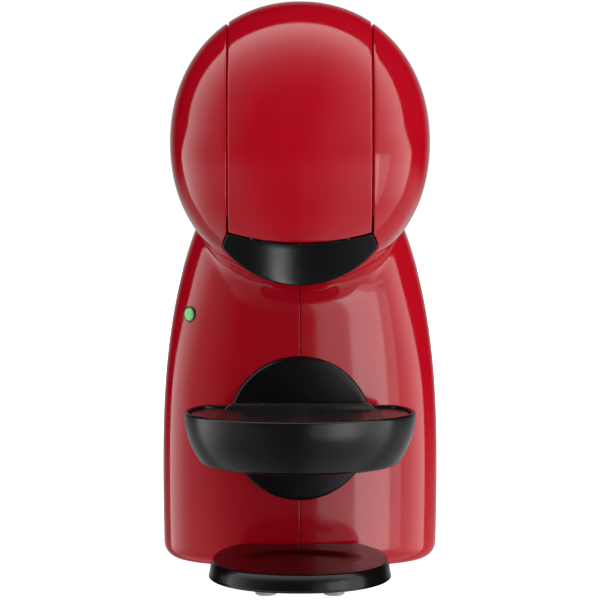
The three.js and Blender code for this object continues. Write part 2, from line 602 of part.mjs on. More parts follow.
/** Panel over the head with its curved lower edge, and the two hinge arms under its back end. */
function handleForm() {
  const skin = headForm(0).subtract(headForm(PANEL_THICKNESS));
  const roundEnd = across(HANDLE_END_RADIUS, -FAR, FAR, HANDLE_AXIS_Y, HANDLE_AXIS_Z, 40);
  const endBox = slab(FAR, HANDLE_AXIS_Y, FAR, 0, FAR).subtract(roundEnd);
  const reach = all(
    strip(-FAR, FAR, HEAD_Z, FAR, SLIDE_GAP),
    strip(-FAR, HEAD_DOME_START_Y - WALL, PANEL_EDGE_Z, HEAD_Z + JOIN, SLIDE_GAP),
  ).subtract(endBox);
  let handle = skin.intersect(reach).intersect(bigArc());
  const armTop = HANDLE_AXIS_Z + HANDLE_AXIS_DEPTH - PANEL_THICKNESS / 2;
  const [armFront, armBack] = [HANDLE_AXIS_Y - KNUCKLE_RADIUS, HANDLE_AXIS_Y + KNUCKLE_RADIUS];
  for (const side of [-1, 1]) {
    const ends = sidePair(side, LUG_X + ARM_THICKNESS + SLIDE_GAP, HINGE_HALF_WIDTH);
    const web = box(...ends, armFront, armBack, HANDLE_AXIS_Z, armTop);
    const knuckle = across(KNUCKLE_RADIUS, ...ends, HANDLE_AXIS_Y, HANDLE_AXIS_Z);
    handle = handle.add(web.add(knuckle).intersect(headForm(GAP)));
  }
  const pinRoom = [-HINGE_HALF_WIDTH - GAP, HINGE_HALF_WIDTH + GAP];
  return handle.subtract(across(HANDLE_PIN_RADIUS + GAP, ...pinRoom, HANDLE_AXIS_Y, HANDLE_AXIS_Z));
}
piece('locking_handle', handleForm(), RED);

const pinShape = across(HANDLE_PIN_RADIUS, -HINGE_HALF_WIDTH, HINGE_HALF_WIDTH, HANDLE_AXIS_Y, HANDLE_AXIS_Z);
piece('handle_pin', pinShape, STEEL);

// ---------------------------------------------------------------- cover behind the handle
const rearCover = headForm(0).subtract(headForm(WALL))
  .intersect(strip(HANDLE_AXIS_Y, FAR, HEAD_Z + GAP, FAR, GAP))
  .subtract(across(HANDLE_END_RADIUS + GAP, -FAR, FAR, HANDLE_AXIS_Y, HANDLE_AXIS_Z, 40))
  .subtract(slab(
    SELECTOR_SLOT_HALF_WIDTH,
    SELECTOR_Y - SELECTOR_THICKNESS / 2 - SLIDE_GAP,
    SELECTOR_Y + SELECTOR_THICKNESS / 2 + SLIDE_GAP,
    SELECTOR_AXIS_Z,
    FAR,
  ));
piece('rear_cover', rearCover, BLACK);

// ---------------------------------------------------------------- head frame
/** Hood over the brewing parts, two cheeks behind it and the lugs that hold the handle's pin. */
function frameForm() {
  const hoodBox = slab(FRAME_HALF_WIDTH, -FAR, FRAME_BACK_Y, FRAME_BOTTOM_Z, FAR);
  const hood = headForm(FRAME_INSET).intersect(hoodBox);
  const roomBox = slab(FRAME_INSIDE, -FAR, FAR, FRAME_FLOOR_TOP_Z, FAR);
  const room = headForm(FRAME_INSET + FRAME_WALL).intersect(roomBox);
  const plateHole = upright(PLATE_RADIUS + SLIDE_GAP, 0, FRAME_FLOOR_TOP_Z + JOIN, CENTRE_X, POD_Y, 28);
  const [holeLeft, holeRight] = [HOSE_HOLE.x - HOSE_HOLE.half, HOSE_HOLE.x + HOSE_HOLE.half];
  const hoseHole = box(holeLeft, holeRight, HEATER.back - HOSE_HOLE.ahead, FAR, 0, FRAME_FLOOR_TOP_Z + JOIN);
  let frame = hood.subtract(all(room, plateHole, hoseHole));
  const sideBack = SELECTOR_Y + SELECTOR_THICKNESS;
  const [sideLow, sideHigh] = [HEATER.bottom, SELECTOR_AXIS_Z + SELECTOR_HUB_RADIUS];
  for (const side of [-1, 1]) {
    const ends = sidePair(side, FRAME_INSIDE, FRAME_HALF_WIDTH);
    const cheek = box(...ends, FRAME_BACK_Y - JOIN, sideBack, sideLow, sideHigh);
    const lugEnds = sidePair(side, LUG_X, LUG_X + ARM_THICKNESS);
    const lugLow = HANDLE_AXIS_Z - LUG_HALF_HEIGHT - JOIN;
    const lugHigh = HANDLE_AXIS_Z + LUG_HALF_HEIGHT - JOIN;
    const rootTop = headTopZ(FRAME_BACK_Y) - FRAME_INSET - JOIN;
    const lug = all(
      across(KNUCKLE_RADIUS - GAP, ...lugEnds, HANDLE_AXIS_Y, HANDLE_AXIS_Z),
      box(...lugEnds, FRAME_BACK_Y - JOIN, HANDLE_AXIS_Y, lugLow, lugHigh),
      box(...lugEnds, FRAME_BACK_Y - LUG_ROOT, FRAME_BACK_Y, lugLow, rootTop),
    );
    frame = frame.add(cheek.intersect(headForm(FRAME_INSET))).add(lug);
  }
  return frame.subtract(across(HANDLE_PIN_RADIUS + GAP, -FAR, FAR, HANDLE_AXIS_Y, HANDLE_AXIS_Z));
}
piece('head_frame', frameForm(), DARK);

// ---------------------------------------------------------------- capsule holder
const holderTopZ = HOLDER_SHOULDER_Z - SLIDE_GAP;
const wellTopZ = HOLDER_SHOULDER_Z + 2 * HOLDER_FLOOR; // past the holder's top

/** Drawer with an arched barrel front, a well for the pod, its outlet and a slot that clears the needle. */
function holderForm() {
  const block = prismAlongY(holderOutline(0), HOLDER_FRONT_Y, HOLDER_BACK_Y);
  const barrel = upright(HOLDER_FRONT_RADIUS, 0, FAR, CENTRE_X, HOLDER_FRONT_Y + HOLDER_FRONT_RADIUS, 110);
  const backTop = slab(FAR, HOLDER_FRONT_Y + 2 * HOLDER_FRONT_WALL, FAR, holderTopZ, FAR);
  const floorZ = HOLDER_BOTTOM_Z + HOLDER_FLOOR;
  const well = turned([
    [0, floorZ],
    [POD_SEAT_RADIUS, floorZ],
    [POD_RADIUS - 1, HOLDER_SHOULDER_Z - POD_RIM_DROP - 1],
    [POD_RADIUS, HOLDER_SHOULDER_Z - POD_RIM_DROP],
    [POD_RADIUS, wellTopZ],
    [0, wellTopZ],
  ], CENTRE_X, POD_Y, 28);
  const outlet = upright(POD_OUTLET_RADIUS, 0, floorZ + JOIN, CENTRE_X, POD_Y);
  const needleSlot = slab(2 * NEEDLE_RADIUS, POD_Y, FAR, NEEDLE_TIP_Z - NEEDLE_CLEARANCE, FAR);
  return block.intersect(barrel).subtract(all(backTop, well, outlet, needleSlot));
}
piece('capsule_holder', holderForm(), BLACK);

// ---------------------------------------------------------------- injection plate, needle and seal
piece('injection_plate', all(
  upright(PLATE_RADIUS, PLATE_Z, PLATE_Z + PLATE_THICKNESS, CENTRE_X, POD_Y, 28),
  upright(PLATE_BOSS.radius, PLATE_Z, PLATE_TOP_Z, CENTRE_X, POD_Y, 20),
).subtract(upright(NEEDLE_RADIUS + GAP, 0, FAR, CENTRE_X, POD_Y, 12)), DARK);
piece('injection_needle', turned([
  [0, NEEDLE_TIP_Z],
  [NEEDLE_RADIUS, NEEDLE_TIP_Z + NEEDLE_POINT],
  [NEEDLE_RADIUS, NEEDLE_TIP_Z + NEEDLE_LENGTH],
  [0, NEEDLE_TIP_Z + NEEDLE_LENGTH],
], CENTRE_X, POD_Y, 12), STEEL);
piece('plate_seal', turned([
  [SEAL.radius - SEAL.width, PLATE_Z - SEAL.height],
  [SEAL.radius, PLATE_Z - SEAL.height],
  [SEAL.radius, PLATE_Z],
  [SEAL.radius - SEAL.width, PLATE_Z],
  [SEAL.radius - SEAL.width, PLATE_Z - SEAL.height],
], CENTRE_X, POD_Y, 28), SILICONE);

// ---------------------------------------------------------------- thermoblock and its cut-outs
const lugBottom = HEATER.bottom + HEATER_LUG.rise;
const [lugFront, lugBack] = [HEATER_MID_Y - HEATER_LUG.halfDepth, HEATER_MID_Y + HEATER_LUG.halfDepth];
const outletZ = HEATER.bottom + HEATER_OUTLET.rise;
const outletEndY = HEATER.front - HEATER_PORT.reach;
const inletY = HEATER.back - HEATER_INLET.inset;
const inletEndZ = HEATER.bottom - HEATER_INLET.drop;
piece('thermoblock', all(
  slab(HEATER.halfWidth, HEATER.front, HEATER.back, HEATER.bottom, HEATER_TOP),
  slab(FRAME_INSIDE - GAP, lugFront, lugBack, lugBottom, lugBottom + HEATER_LUG.height),
  along(HEATER_PORT.radius, outletEndY, HEATER.front + HEATER_PORT.sink, HEATER_OUTLET.x, outletZ, 16),
  upright(HEATER_PORT.radius, inletEndZ, HEATER.bottom + HEATER_PORT.sink, HEATER_INLET.x, inletY, 16),
), ALUMINIUM);
piece('thermostat', upright(THERMOSTAT.radius, HEATER_TOP, HEATER_TOP + THERMOSTAT.height, THERMOSTAT.x,
  HEATER_MID_Y, 20), DARK);
const [fuseFront, fuseBack] = [HEATER_MID_Y - FUSE.halfDepth, HEATER_MID_Y + FUSE.halfDepth];
const fuse = box(FUSE.x0, FUSE.x1, fuseFront, fuseBack, HEATER_TOP, HEATER_TOP + FUSE.height);
piece('thermal_fuse', fuse, SILICONE);

// ---------------------------------------------------------------- selector lever and its valve
const [leverFront, leverBack] = [SELECTOR_Y - SELECTOR_THICKNESS / 2, SELECTOR_Y + SELECTOR_THICKNESS / 2];
const leverEndZ = SELECTOR_TIP_Z - SELECTOR_TIP_RADIUS;
piece('selector_lever', all(
  along(SELECTOR_HUB_RADIUS, leverFront, leverBack, CENTRE_X, SELECTOR_AXIS_Z),
  slab(SELECTOR_BLADE_HALF_WIDTH, leverFront, leverBack, SELECTOR_AXIS_Z, leverEndZ),
  along(SELECTOR_TIP_RADIUS, leverFront, leverBack, CENTRE_X, leverEndZ, 20),
), BLACK);
const valveTop = SELECTOR_AXIS_Z - SELECTOR_HUB_RADIUS - GAP;
const valveBottom = valveTop - VALVE_BLOCK.height;
const railBottom = valveTop - VALVE_BLOCK.railDrop;
const railFront = SELECTOR_Y - VALVE_BLOCK.railHalfDepth;
const railBack = SELECTOR_Y + VALVE_BLOCK.railHalfDepth;
piece('selector_valve', all(
  slab(VALVE_BLOCK.halfWidth, leverFront - VALVE_BLOCK.ahead, leverBack, valveBottom, valveTop),
  slab(FRAME_INSIDE - GAP, railFront, railBack, railBottom, railBottom + VALVE_BLOCK.railHeight),
), DARK);

// ---------------------------------------------------------------- power button
/** Round tube about the seat's own Z axis. */
function seatTube(outer, inner, z0, z1) {
  const section = [[inner, z0], [outer, z0], [outer, z1], [inner, z1], [inner, z0]];
  const points = section.map(([r, z]) => new THREE.Vector2(r, z));
  return solid(new THREE.LatheGeometry(points, 28).rotateX(Math.PI / 2));
}
const bezel = seatTube(BUTTON_RADIUS + BEZEL_WALL, BUTTON_RADIUS + GAP, -BEZEL_LENGTH, BEZEL_PROUD);
piece('button_bezel', bezel, BLACK, buttonSeat);
const lensMiddle = BEZEL_PROUD + BUTTON_PROUD - BUTTON_LENGTH / 2;
const lens = solid(bar(BUTTON_RADIUS, BUTTON_LENGTH, 28).rotateX(Math.PI / 2).translate(0, 0, lensMiddle));
piece('power_button', lens, GREEN, buttonSeat);
const boardMiddle = -BEZEL_LENGTH - GAP - BOARD.thickness / 2;
const boardBox = new THREE.BoxGeometry(2 * BOARD.halfWidth, BOARD.height, BOARD.thickness)
  .translate(BOARD.halfWidth / 2, 0, boardMiddle);
piece('control_board', solid(boardBox), BOARD_GREEN, buttonSeat);

// ---------------------------------------------------------------- drip tray, grid and carrier plate
const trayY = TRAY_FRONT_Y + TRAY_RADIUS;
const trayBottomZ = TRAY_RIM_Z - TRAY_DEPTH;

/** Bowl profile: the wall draws in towards the floor and turns under at its foot. */
function bowlProfile(inset, topZ) {
  const profile = [[0, trayBottomZ + inset]];
  const steps = 5;
  const floorRadius = TRAY_RADIUS - TRAY_DRAW_IN - TRAY_TURN.inset - inset;
  profile.push([floorRadius, trayBottomZ + inset]);
  for (let i = 1; i <= steps; i += 1) {
    const share = i / steps;
    const z = trayBottomZ + inset + TRAY_TURN.rise + (TRAY_DEPTH - inset - TRAY_TURN.rise) * share;
    profile.push([TRAY_RADIUS - inset - TRAY_DRAW_IN * (1 - share) ** TRAY_DRAW_POWER, z]);
  }
  profile.push([TRAY_RADIUS - inset, topZ], [0, topZ]);
  return profile;
}
const bowl = turned(bowlProfile(0, TRAY_RIM_Z + JOIN), CENTRE_X, trayY, 44)
  .intersect(slab(FAR, -FAR, TRAY_BACK_Y, 0, TRAY_RIM_Z));
const bowlRoom = turned(bowlProfile(TRAY_WALL, TRAY_RIM_Z + 2 * JOIN), CENTRE_X, trayY, 28)
  .intersect(slab(FAR, -FAR, TRAY_BACK_Y - TRAY_WALL, 0, FAR));
const hookZ = TRAY_RIM_Z - GRID_DROP - GRID_THICKNESS - HOOK.drop;
const hookHoles = [];
const hooks = [];
const hookFront = PLATE_DISC_FRONT_Y - HOOK.reach;
for (const side of [-1, 1]) {
  const block = (grow, y0, y1) => box(
    side * HOOK.x - HOOK.halfWidth - grow,
    side * HOOK.x + HOOK.halfWidth + grow,
    y0,
    y1,
    hookZ - HOOK.halfHeight - grow,
    hookZ + HOOK.halfHeight + grow,
  );
  hookHoles.push(block(GAP, TRAY_BACK_Y - 2 * TRAY_WALL, FAR));
  hooks.push(block(0, hookFront, PLATE_DISC_FRONT_Y + JOIN));
}
piece('drip_tray', bowl.subtract(all(bowlRoom, ...hookHoles)), BLACK);

const gridTop = TRAY_RIM_Z - GRID_DROP;
const gridBottom = gridTop - GRID_THICKNESS;
const gridBack = TRAY_BACK_Y - TRAY_WALL - GAP;
let grid = upright(TRAY_RADIUS - TRAY_WALL - GRID_CLEARANCE, gridBottom, gridTop, CENTRE_X, trayY, 56)
  .intersect(slab(FAR, -FAR, gridBack, 0, FAR));
for (let i = 0; i < GRID_SLOTS.count; i += 1) {
  const y = trayY - GRID_SLOTS.ahead + GRID_SLOTS.pitch * (i - (GRID_SLOTS.count - 1) / 2);
  const room = Math.sqrt(Math.max(0, (TRAY_RADIUS - GRID_SLOTS.edge) ** 2 - (y - trayY) ** 2));
  for (const side of [-1, 1]) {
    const ends = sidePair(side, GRID_SLOTS.inner, Math.min(room, GRID_SLOTS.outer));
    grid = grid.subtract(box(...ends, y - GRID_SLOTS.width / 2, y + GRID_SLOTS.width / 2, 0, FAR));
  }
}
const { halfWidth: barHalf, depth: barDepth, rise: barRise, chamfer: barChamfer } = GRID_BAR;
grid = grid.add(prismAlongY([
  [-barHalf, gridBottom],
  [barHalf, gridBottom],
  [barHalf, gridTop],
  [barHalf - barChamfer, gridTop + barRise],
  [barChamfer - barHalf, gridTop + barRise],
  [-barHalf, gridTop],
], gridBack - barDepth, gridBack));
piece('drip_grid', grid, BLACK);

const disc = along(PLATE_DISC_RADIUS, PLATE_DISC_FRONT_Y, PLATE_DISC_FRONT_Y + PLATE_DISC_DEPTH,
  CENTRE_X, PLATE_DISC_Z, 48);
piece('tray_carrier', all(disc, ...hooks), BLACK);

// ---------------------------------------------------------------- foot plate
/** Outline of the foot plate: a superellipse cut off straight at the back. */
function footOutline(trimSide, trimFront) {
  const points = [];
  const steps = 32;
  const half = FOOT_PLATE_HALF_WIDTH - trimSide;
  const ahead = FOOT_PLATE_MID_Y - FOOT_PLATE_FRONT_Y - trimFront;
  for (let i = 0; i <= steps; i += 1) {
    const angle = (2 * Math.PI * i) / steps;
    const [side, forward] = [Math.sin(angle), Math.cos(angle)];
    const reach = forward > 0 ? ahead : FOOT_PLATE_BACK_REACH;
    const y = FOOT_PLATE_MID_Y - reach * power(forward, 2 / FOOT_PLATE_POWER);
    points.push([half * power(side, 2 / FOOT_PLATE_POWER), Math.min(y, FOOT_PLATE_BACK_Y)]);
  }
  return points.slice(0, steps);
}
const footTop = FOOT_PLATE_Z + FOOT_PLATE_THICKNESS;
const { side: flareSide, front: flareFront } = FOOT_PLATE_FLARE;
const footBody = loft(FOOT_PLATE_SIDE.map(([rise, flare]) => {
  const z = FOOT_PLATE_Z + rise * FOOT_PLATE_THICKNESS;
  return footOutline(flareSide * flare, flareFront * flare).map(([x, y]) => [x, y, z]);
}));
const dishRadius = (DISH.halfWidth ** 2 + DISH.depth ** 2) / (2 * DISH.depth);
const dishProfile = [];
const dishSteps = 4;
for (let i = 0; i <= dishSteps; i += 1) {
  const r = (DISH.halfWidth * i) / dishSteps;
  dishProfile.push([r, footTop - DISH.depth + dishRadius - Math.sqrt(dishRadius ** 2 - r ** 2)]);
}
dishProfile.push([DISH.halfWidth, footTop + JOIN], [0, footTop + JOIN]);
const dish = turned(dishProfile, 0, 0, 28).scale([1, DISH.halfDepth / DISH.halfWidth, 1])
  .translate([0, FOOT_PLATE_MID_Y, 0]);
const tongueFront = FOOT_PLATE_BACK_Y - TONGUE.join;
const tongue = slab(TONGUE.halfWidth, tongueFront, TONGUE.back, FOOT_PLATE_Z, TONGUE_TOP_Z);
const footPlate = footBody.subtract(dish).add(tongue).subtract(tongueScrewHoles(SCREW_RADIUS + GAP));
piece('foot_plate', footPlate, BLACK);

// ---------------------------------------------------------------- bottom cover, screws and feet
/** Holes through the foot plate's tongue for its two screws. */
function tongueScrewHoles(radius) {
  const at = (x) => upright(radius, 0, TONGUE_TOP_Z - JOIN, x, TONGUE.back - TONGUE.screwInset, 12);
  return at(-TONGUE.screwX).add(at(TONGUE.screwX));
}

/** Raised step of the bottom cover that the foot plate's tongue lies on. */
function tongueShelf() {
  const front = TONGUE.back - TONGUE.shelf;
  return slab(TONGUE.halfWidth - JOIN, front, TONGUE.back, COVER_TOP_Z - JOIN, FOOT_PLATE_Z);
}
const coverInset = BODY_EDGE_RADIUS + WALL + 2 * GAP;
const coverPlan = planPoints(bodyHalfWidth(BODY_BOTTOM_Z), coverInset, HIDDEN_POINTS);
let cover = prismUp(coverPlan, BODY_BOTTOM_Z, COVER_TOP_Z).add(tongueShelf());
const plateScrewLength = TONGUE.height + COVER_THICKNESS - PLATE_SCREW_SHORT;
const screwSpots = [];
for (const [name, side] of [['left', -1], ['right', 1]]) {
  screwSpots.push([`${name}_front`, side * bodyX(FRONT_BOSS), FRONT_BOSS.y, SCREW_LENGTH]);
  screwSpots.push([`${name}_rear`, side * bodyX(REAR_BOSS), REAR_BOSS.y, SCREW_LENGTH]);
  screwSpots.push([`${name}_plate`, side * TONGUE.screwX, TONGUE.back - TONGUE.screwInset, plateScrewLength]);
}
for (const [, x, y] of screwSpots) {
  cover = cover.subtract(all(
    upright(SCREW_RADIUS + GAP, 0, COVER_TOP_Z + 2 * JOIN, x, y, 10),
    upright(SCREW_HEAD_RADIUS + GAP, 0, BODY_BOTTOM_Z + SCREW_HEAD, x, y, 14),
  ));
}
piece('bottom_cover', cover, DARK);
for (const [place, x, y, length] of screwSpots) {
  piece(`screw_${place}`, turned([
    [0, BODY_BOTTOM_Z],
    [SCREW_HEAD_RADIUS, BODY_BOTTOM_Z],
    [SCREW_HEAD_RADIUS, BODY_BOTTOM_Z + SCREW_HEAD],
    [SCREW_RADIUS, BODY_BOTTOM_Z + SCREW_HEAD],
    [SCREW_RADIUS, BODY_BOTTOM_Z + length - SCREW_POINT],
    [0, BODY_BOTTOM_Z + length],
  ], x, y, 10), STEEL);
}
const footProfile = (radius, top) => [
  [0, 0],
  [radius - FOOT_BEVEL, 0],
  [radius, FOOT_BEVEL],
  [radius, top - FOOT_BEVEL],
  [radius - FOOT_BEVEL, top],
  [0, top],
];
const frontFootX = FOOT_PLATE_HALF_WIDTH - FRONT_FOOT.fromSide;
for (const [name, side] of [['left', -1], ['right', 1]]) {
  const plateFoot = footProfile(FRONT_FOOT.radius, FOOT_PLATE_Z);
  const bodyFoot = footProfile(FOOT_RADIUS, BODY_BOTTOM_Z);
  piece(`${name}_front_foot`, turned(plateFoot, side * frontFootX, FRONT_FOOT.y, 16), RUBBER);
  piece(`${name}_mid_foot`, turned(bodyFoot, side * bodyX(MID_FOOT), MID_FOOT.y, 14), RUBBER);
  piece(`${name}_rear_foot`, turned(bodyFoot, side * bodyX(REAR_FOOT), REAR_FOOT.y, 14), RUBBER);
}

// ---------------------------------------------------------------- water tank, lid, valve and dock
const tankHalf = slab(FAR, TANK_FRONT_Y, FAR, TANK_BOTTOM_Z, TANK_TOP_Z);
const tankRoomBox = slab(FAR, TANK_FRONT_Y + TANK_WALL, FAR, TANK_BOTTOM_Z + TANK_WALL, FAR);
const tankOuter = columnForm(0, TANK_TOP_Z + JOIN, tankHalfWidth).intersect(tankHalf);
const tankRoom = columnForm(TANK_WALL, TANK_TOP_Z + 2 * JOIN, tankHalfWidth).intersect(tankRoomBox);
const spoutEndZ = TANK_BOTTOM_Z - SPOUT_REACH;
const spout = upright(SPOUT_RADIUS - GAP, spoutEndZ, TANK_BOTTOM_Z + JOIN, CENTRE_X, SPOUT_Y);
const spoutHole = upright(VALVE_HOLE_RADIUS, 0, TANK_BOTTOM_Z + 2 * TANK_WALL, CENTRE_X, SPOUT_Y);
piece('water_tank', tankOuter.subtract(tankRoom).add(spout).subtract(spoutHole), SMOKE);

const lidBottom = TANK_TOP_Z + LID_GAP;
const lidPlan = planPoints(TANK_NECK_HALF_WIDTH, 0, 56);
const lidSlab = prismUp(lidPlan, lidBottom, lidBottom + LID_THICKNESS)
  .intersect(slab(FAR, TANK_FRONT_Y, LID_AXIS_Y + LID_END, 0, FAR));
piece('tank_lid', lidSlab, BLACK);

const valveLow = spoutEndZ + VALVE.raised;
const valveHigh = VALVE_SEAT_Z + VALVE.height;
const lipRadius = VALVE_HOLE_RADIUS + VALVE.lip;
piece('tank_valve', turned([
  [0, valveLow],
  [VALVE.stem, valveLow],
  [VALVE.stem, VALVE_SEAT_Z + GAP],
  [lipRadius, VALVE_SEAT_Z + GAP],
  [lipRadius, valveHigh],
  [VALVE.stem, valveHigh],
  [VALVE.stem, VALVE_SEAT_Z + VALVE.tail],
  [0, VALVE_SEAT_Z + VALVE.tail],
], CENTRE_X, SPOUT_Y, 20), SILICONE);
const cageTop = VALVE_SEAT_Z + CAGE.height;
piece('valve_spring', coilSpring(VALVE_SPRING.radius, VALVE_SPRING.wire, VALVE_SPRING.turns,
  valveHigh + VALVE_SPRING.seat, cageTop - VALVE_SPRING.head, CENTRE_X, SPOUT_Y), STEEL);
const [cageFront, cageBack] = [SPOUT_Y - CAGE.halfDepth, SPOUT_Y + CAGE.halfDepth];
const cagePosts = [-1, 1].map((side) =>
  box(...sidePair(side, CAGE.inner, CAGE.outer), cageFront, cageBack, VALVE_SEAT_Z, cageTop));
const cageBar = slab((CAGE.inner + CAGE.outer) / 2, cageFront, cageBack, cageTop - CAGE.top, cageTop);
piece('valve_cage', all(cageBar, ...cagePosts), DARK);

const socketOuter = SPOUT_RADIUS + SOCKET.wall;
const socketRim = TANK_BOTTOM_Z - GAP;
const socketUnder = SOCKET_FLOOR_Z - SOCKET.floor;
piece('tank_socket', turned([
  [VALVE_HOLE_RADIUS / 2, BARB_END_Z],
  [VALVE_HOLE_RADIUS, BARB_END_Z],
  [VALVE_HOLE_RADIUS, socketUnder],
  [socketOuter, socketUnder],
  [socketOuter, SHELF_Z + GAP],
  [socketOuter + SOCKET.flange, SHELF_Z + GAP],
  [socketOuter + SOCKET.flange, socketRim],
  [SPOUT_RADIUS + GAP, socketRim],
  [SPOUT_RADIUS + GAP, SOCKET_FLOOR_Z],
  [VALVE_HOLE_RADIUS / 2, SOCKET_FLOOR_Z],
  [VALVE_HOLE_RADIUS / 2, BARB_END_Z],
], CENTRE_X, SPOUT_Y, 20), DARK);
const dockEdge = DOCK_PANEL.halfWidth - GAP;
const [dockLow, dockHigh] = [DOCK_PANEL.bottom + GAP, DOCK_PANEL.top - GAP];
piece('dock_panel', slab(dockEdge, DOCK_Y - WALL, DOCK_Y, dockLow, dockHigh), DARK);

// ---------------------------------------------------------------- pump
const mountFloor = PUMP_BOTTOM_Z - PUMP_MOUNT.floor;
const mountLip = PUMP_BOTTOM_Z + PUMP_MOUNT.lip;
piece('pump_mount', turned([
  [PUMP_MOUNT.inner, COVER_TOP_Z],
  [PUMP_MOUNT.foot, COVER_TOP_Z],
  [PUMP_RADIUS + PUMP_MOUNT.wall, mountFloor],
  [PUMP_RADIUS + PUMP_MOUNT.wall, mountLip],
  [PUMP_RADIUS + GAP, mountLip],
  [PUMP_RADIUS + GAP, PUMP_BOTTOM_Z - GAP],
  [PUMP_MOUNT.inner, mountFloor],
  [PUMP_MOUNT.inner, COVER_TOP_Z],
], CENTRE_X, PUMP_Y, 18), RUBBER);
piece('pump_body', all(
  upright(PUMP_RADIUS, PUMP_BOTTOM_Z, PUMP_TOP_Z, CENTRE_X, PUMP_Y, 28),
  along(PUMP_INLET.radius, PUMP_Y, PUMP_INLET_END_Y, CENTRE_X, PUMP_INLET_Z, 16),
).subtract(upright(PUMP_BORE, PISTON.bottom - PISTON.room, FAR, CENTRE_X, PUMP_Y, 24)), DARK);
const [coilFront, coilBack] = [PUMP_Y - COIL.halfDepth, PUMP_Y + COIL.halfDepth];
const pumpClear = upright(PUMP_RADIUS + GAP, 0, FAR, CENTRE_X, PUMP_Y, 28);
const coilBlock = slab(COIL.halfWidth, coilFront, coilBack, COIL.bottom, COIL.top);
piece('pump_coil', coilBlock.subtract(pumpClear), COPPER);
piece('pump_piston', upright(PISTON.radius, PISTON.bottom, PISTON.top, CENTRE_X, PUMP_Y, 20), STEEL);
piece('piston_spring', coilSpring(PISTON_SPRING.radius, PISTON_SPRING.wire, PISTON_SPRING.turns,
  PISTON.top + PISTON_SPRING.seat, PUMP_TOP_Z - PISTON_SPRING.head, CENTRE_X, PUMP_Y), STEEL);
const capPlug = PUMP_BORE - GAP;
const capFace = PUMP_TOP_Z + PUMP_CAP.height;
piece('pump_cap', turned([
  [0, PUMP_TOP_Z - PUMP_CAP.plug],
  [capPlug, PUMP_TOP_Z - PUMP_CAP.plug],
  [capPlug, PUMP_TOP_Z],
  [PUMP_RADIUS, PUMP_TOP_Z],
  [PUMP_RADIUS, capFace],
  [PUMP_CAP.nipple, capFace],
  [PUMP_CAP.nipple, PUMP_CAP_TOP_Z],
  [0, PUMP_CAP_TOP_Z],
], CENTRE_X, PUMP_Y, 18), DARK);
const [strapLow, strapHigh] = [PUMP_TOP_Z - STRAP.low, PUMP_TOP_Z - STRAP.high];
piece('pump_strap', all(
  upright(PUMP_RADIUS + STRAP.wall, strapLow, strapHigh, CENTRE_X, PUMP_Y, 28),
  slab(STRAP.halfWidth, PUMP_Y + PUMP_RADIUS, DOCK_Y - WALL - GAP, strapLow, strapHigh),
).subtract(pumpClear), RUBBER);

// ---------------------------------------------------------------- hoses and cord inlet
piece('inlet_hose', hose([
  [0, SPOUT_Y, BARB_END_Z - GAP],
  [0, SPOUT_Y, BARB_END_Z - 2.5],
  [0, SPOUT_Y - 5, BARB_END_Z - 6],
  [0, SPOUT_Y - 20, BARB_END_Z - 4],
  [0, PUMP_Y + 32, SOCKET_FLOOR_Z + 6],
  [0, PUMP_Y + 24, PUMP_INLET_Z],
  [0, PUMP_INLET_END_Y + GAP, PUMP_INLET_Z],
]), SILICONE);
const inletPortZ = inletEndZ - GAP;
piece('pressure_hose', hose([
  [0, PUMP_Y, PUMP_CAP_TOP_Z + GAP],
  [0, PUMP_Y, PUMP_CAP_TOP_Z + 12],
  [6, PUMP_Y - 8, PUMP_CAP_TOP_Z + 45],
  [HEATER_INLET.x, inletY, inletPortZ - 14],
  [HEATER_INLET.x, inletY, inletPortZ],
]), SILICONE);
const outletPortY = outletEndY - GAP;
piece('brew_hose', hose([
  [HEATER_OUTLET.x, outletPortY, outletZ],
  [HEATER_OUTLET.x, outletPortY - 2.5, outletZ],
  [HEATER_OUTLET.x + 1, outletPortY - 5, outletZ - 5],
  [-4, POD_Y - 4, outletZ - 14],
  [0, POD_Y, PLATE_TOP_Z + 6],
  [0, POD_Y, PLATE_TOP_Z + GAP],
], BREW_HOSE_RADIUS), SILICONE);
const inletStart = CORD_INLET.end - CORD_INLET.length;
piece('cord_inlet', along(CORD_INLET.radius, inletStart, CORD_INLET.end, CORD_INLET.x, CORD_INLET.z, 24)
  .subtract(along(CORD_INLET.bore, 0, FAR, CORD_INLET.x, CORD_INLET.z, 16)), RUBBER);

export default machine;
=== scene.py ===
"""Looks of the pod coffee machine: surfaces, finishes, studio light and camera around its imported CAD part.

Every shape is worked out in millimetres as whole numpy arrays, +Z up and the front towards -Y, and turned
into metres when it becomes a Blender mesh.
"""

from __future__ import annotations

import json
import logging
import math
from dataclasses import dataclass, field, replace
from enum import Enum
from typing import Any, Callable, ClassVar, Sequence, TypeVar

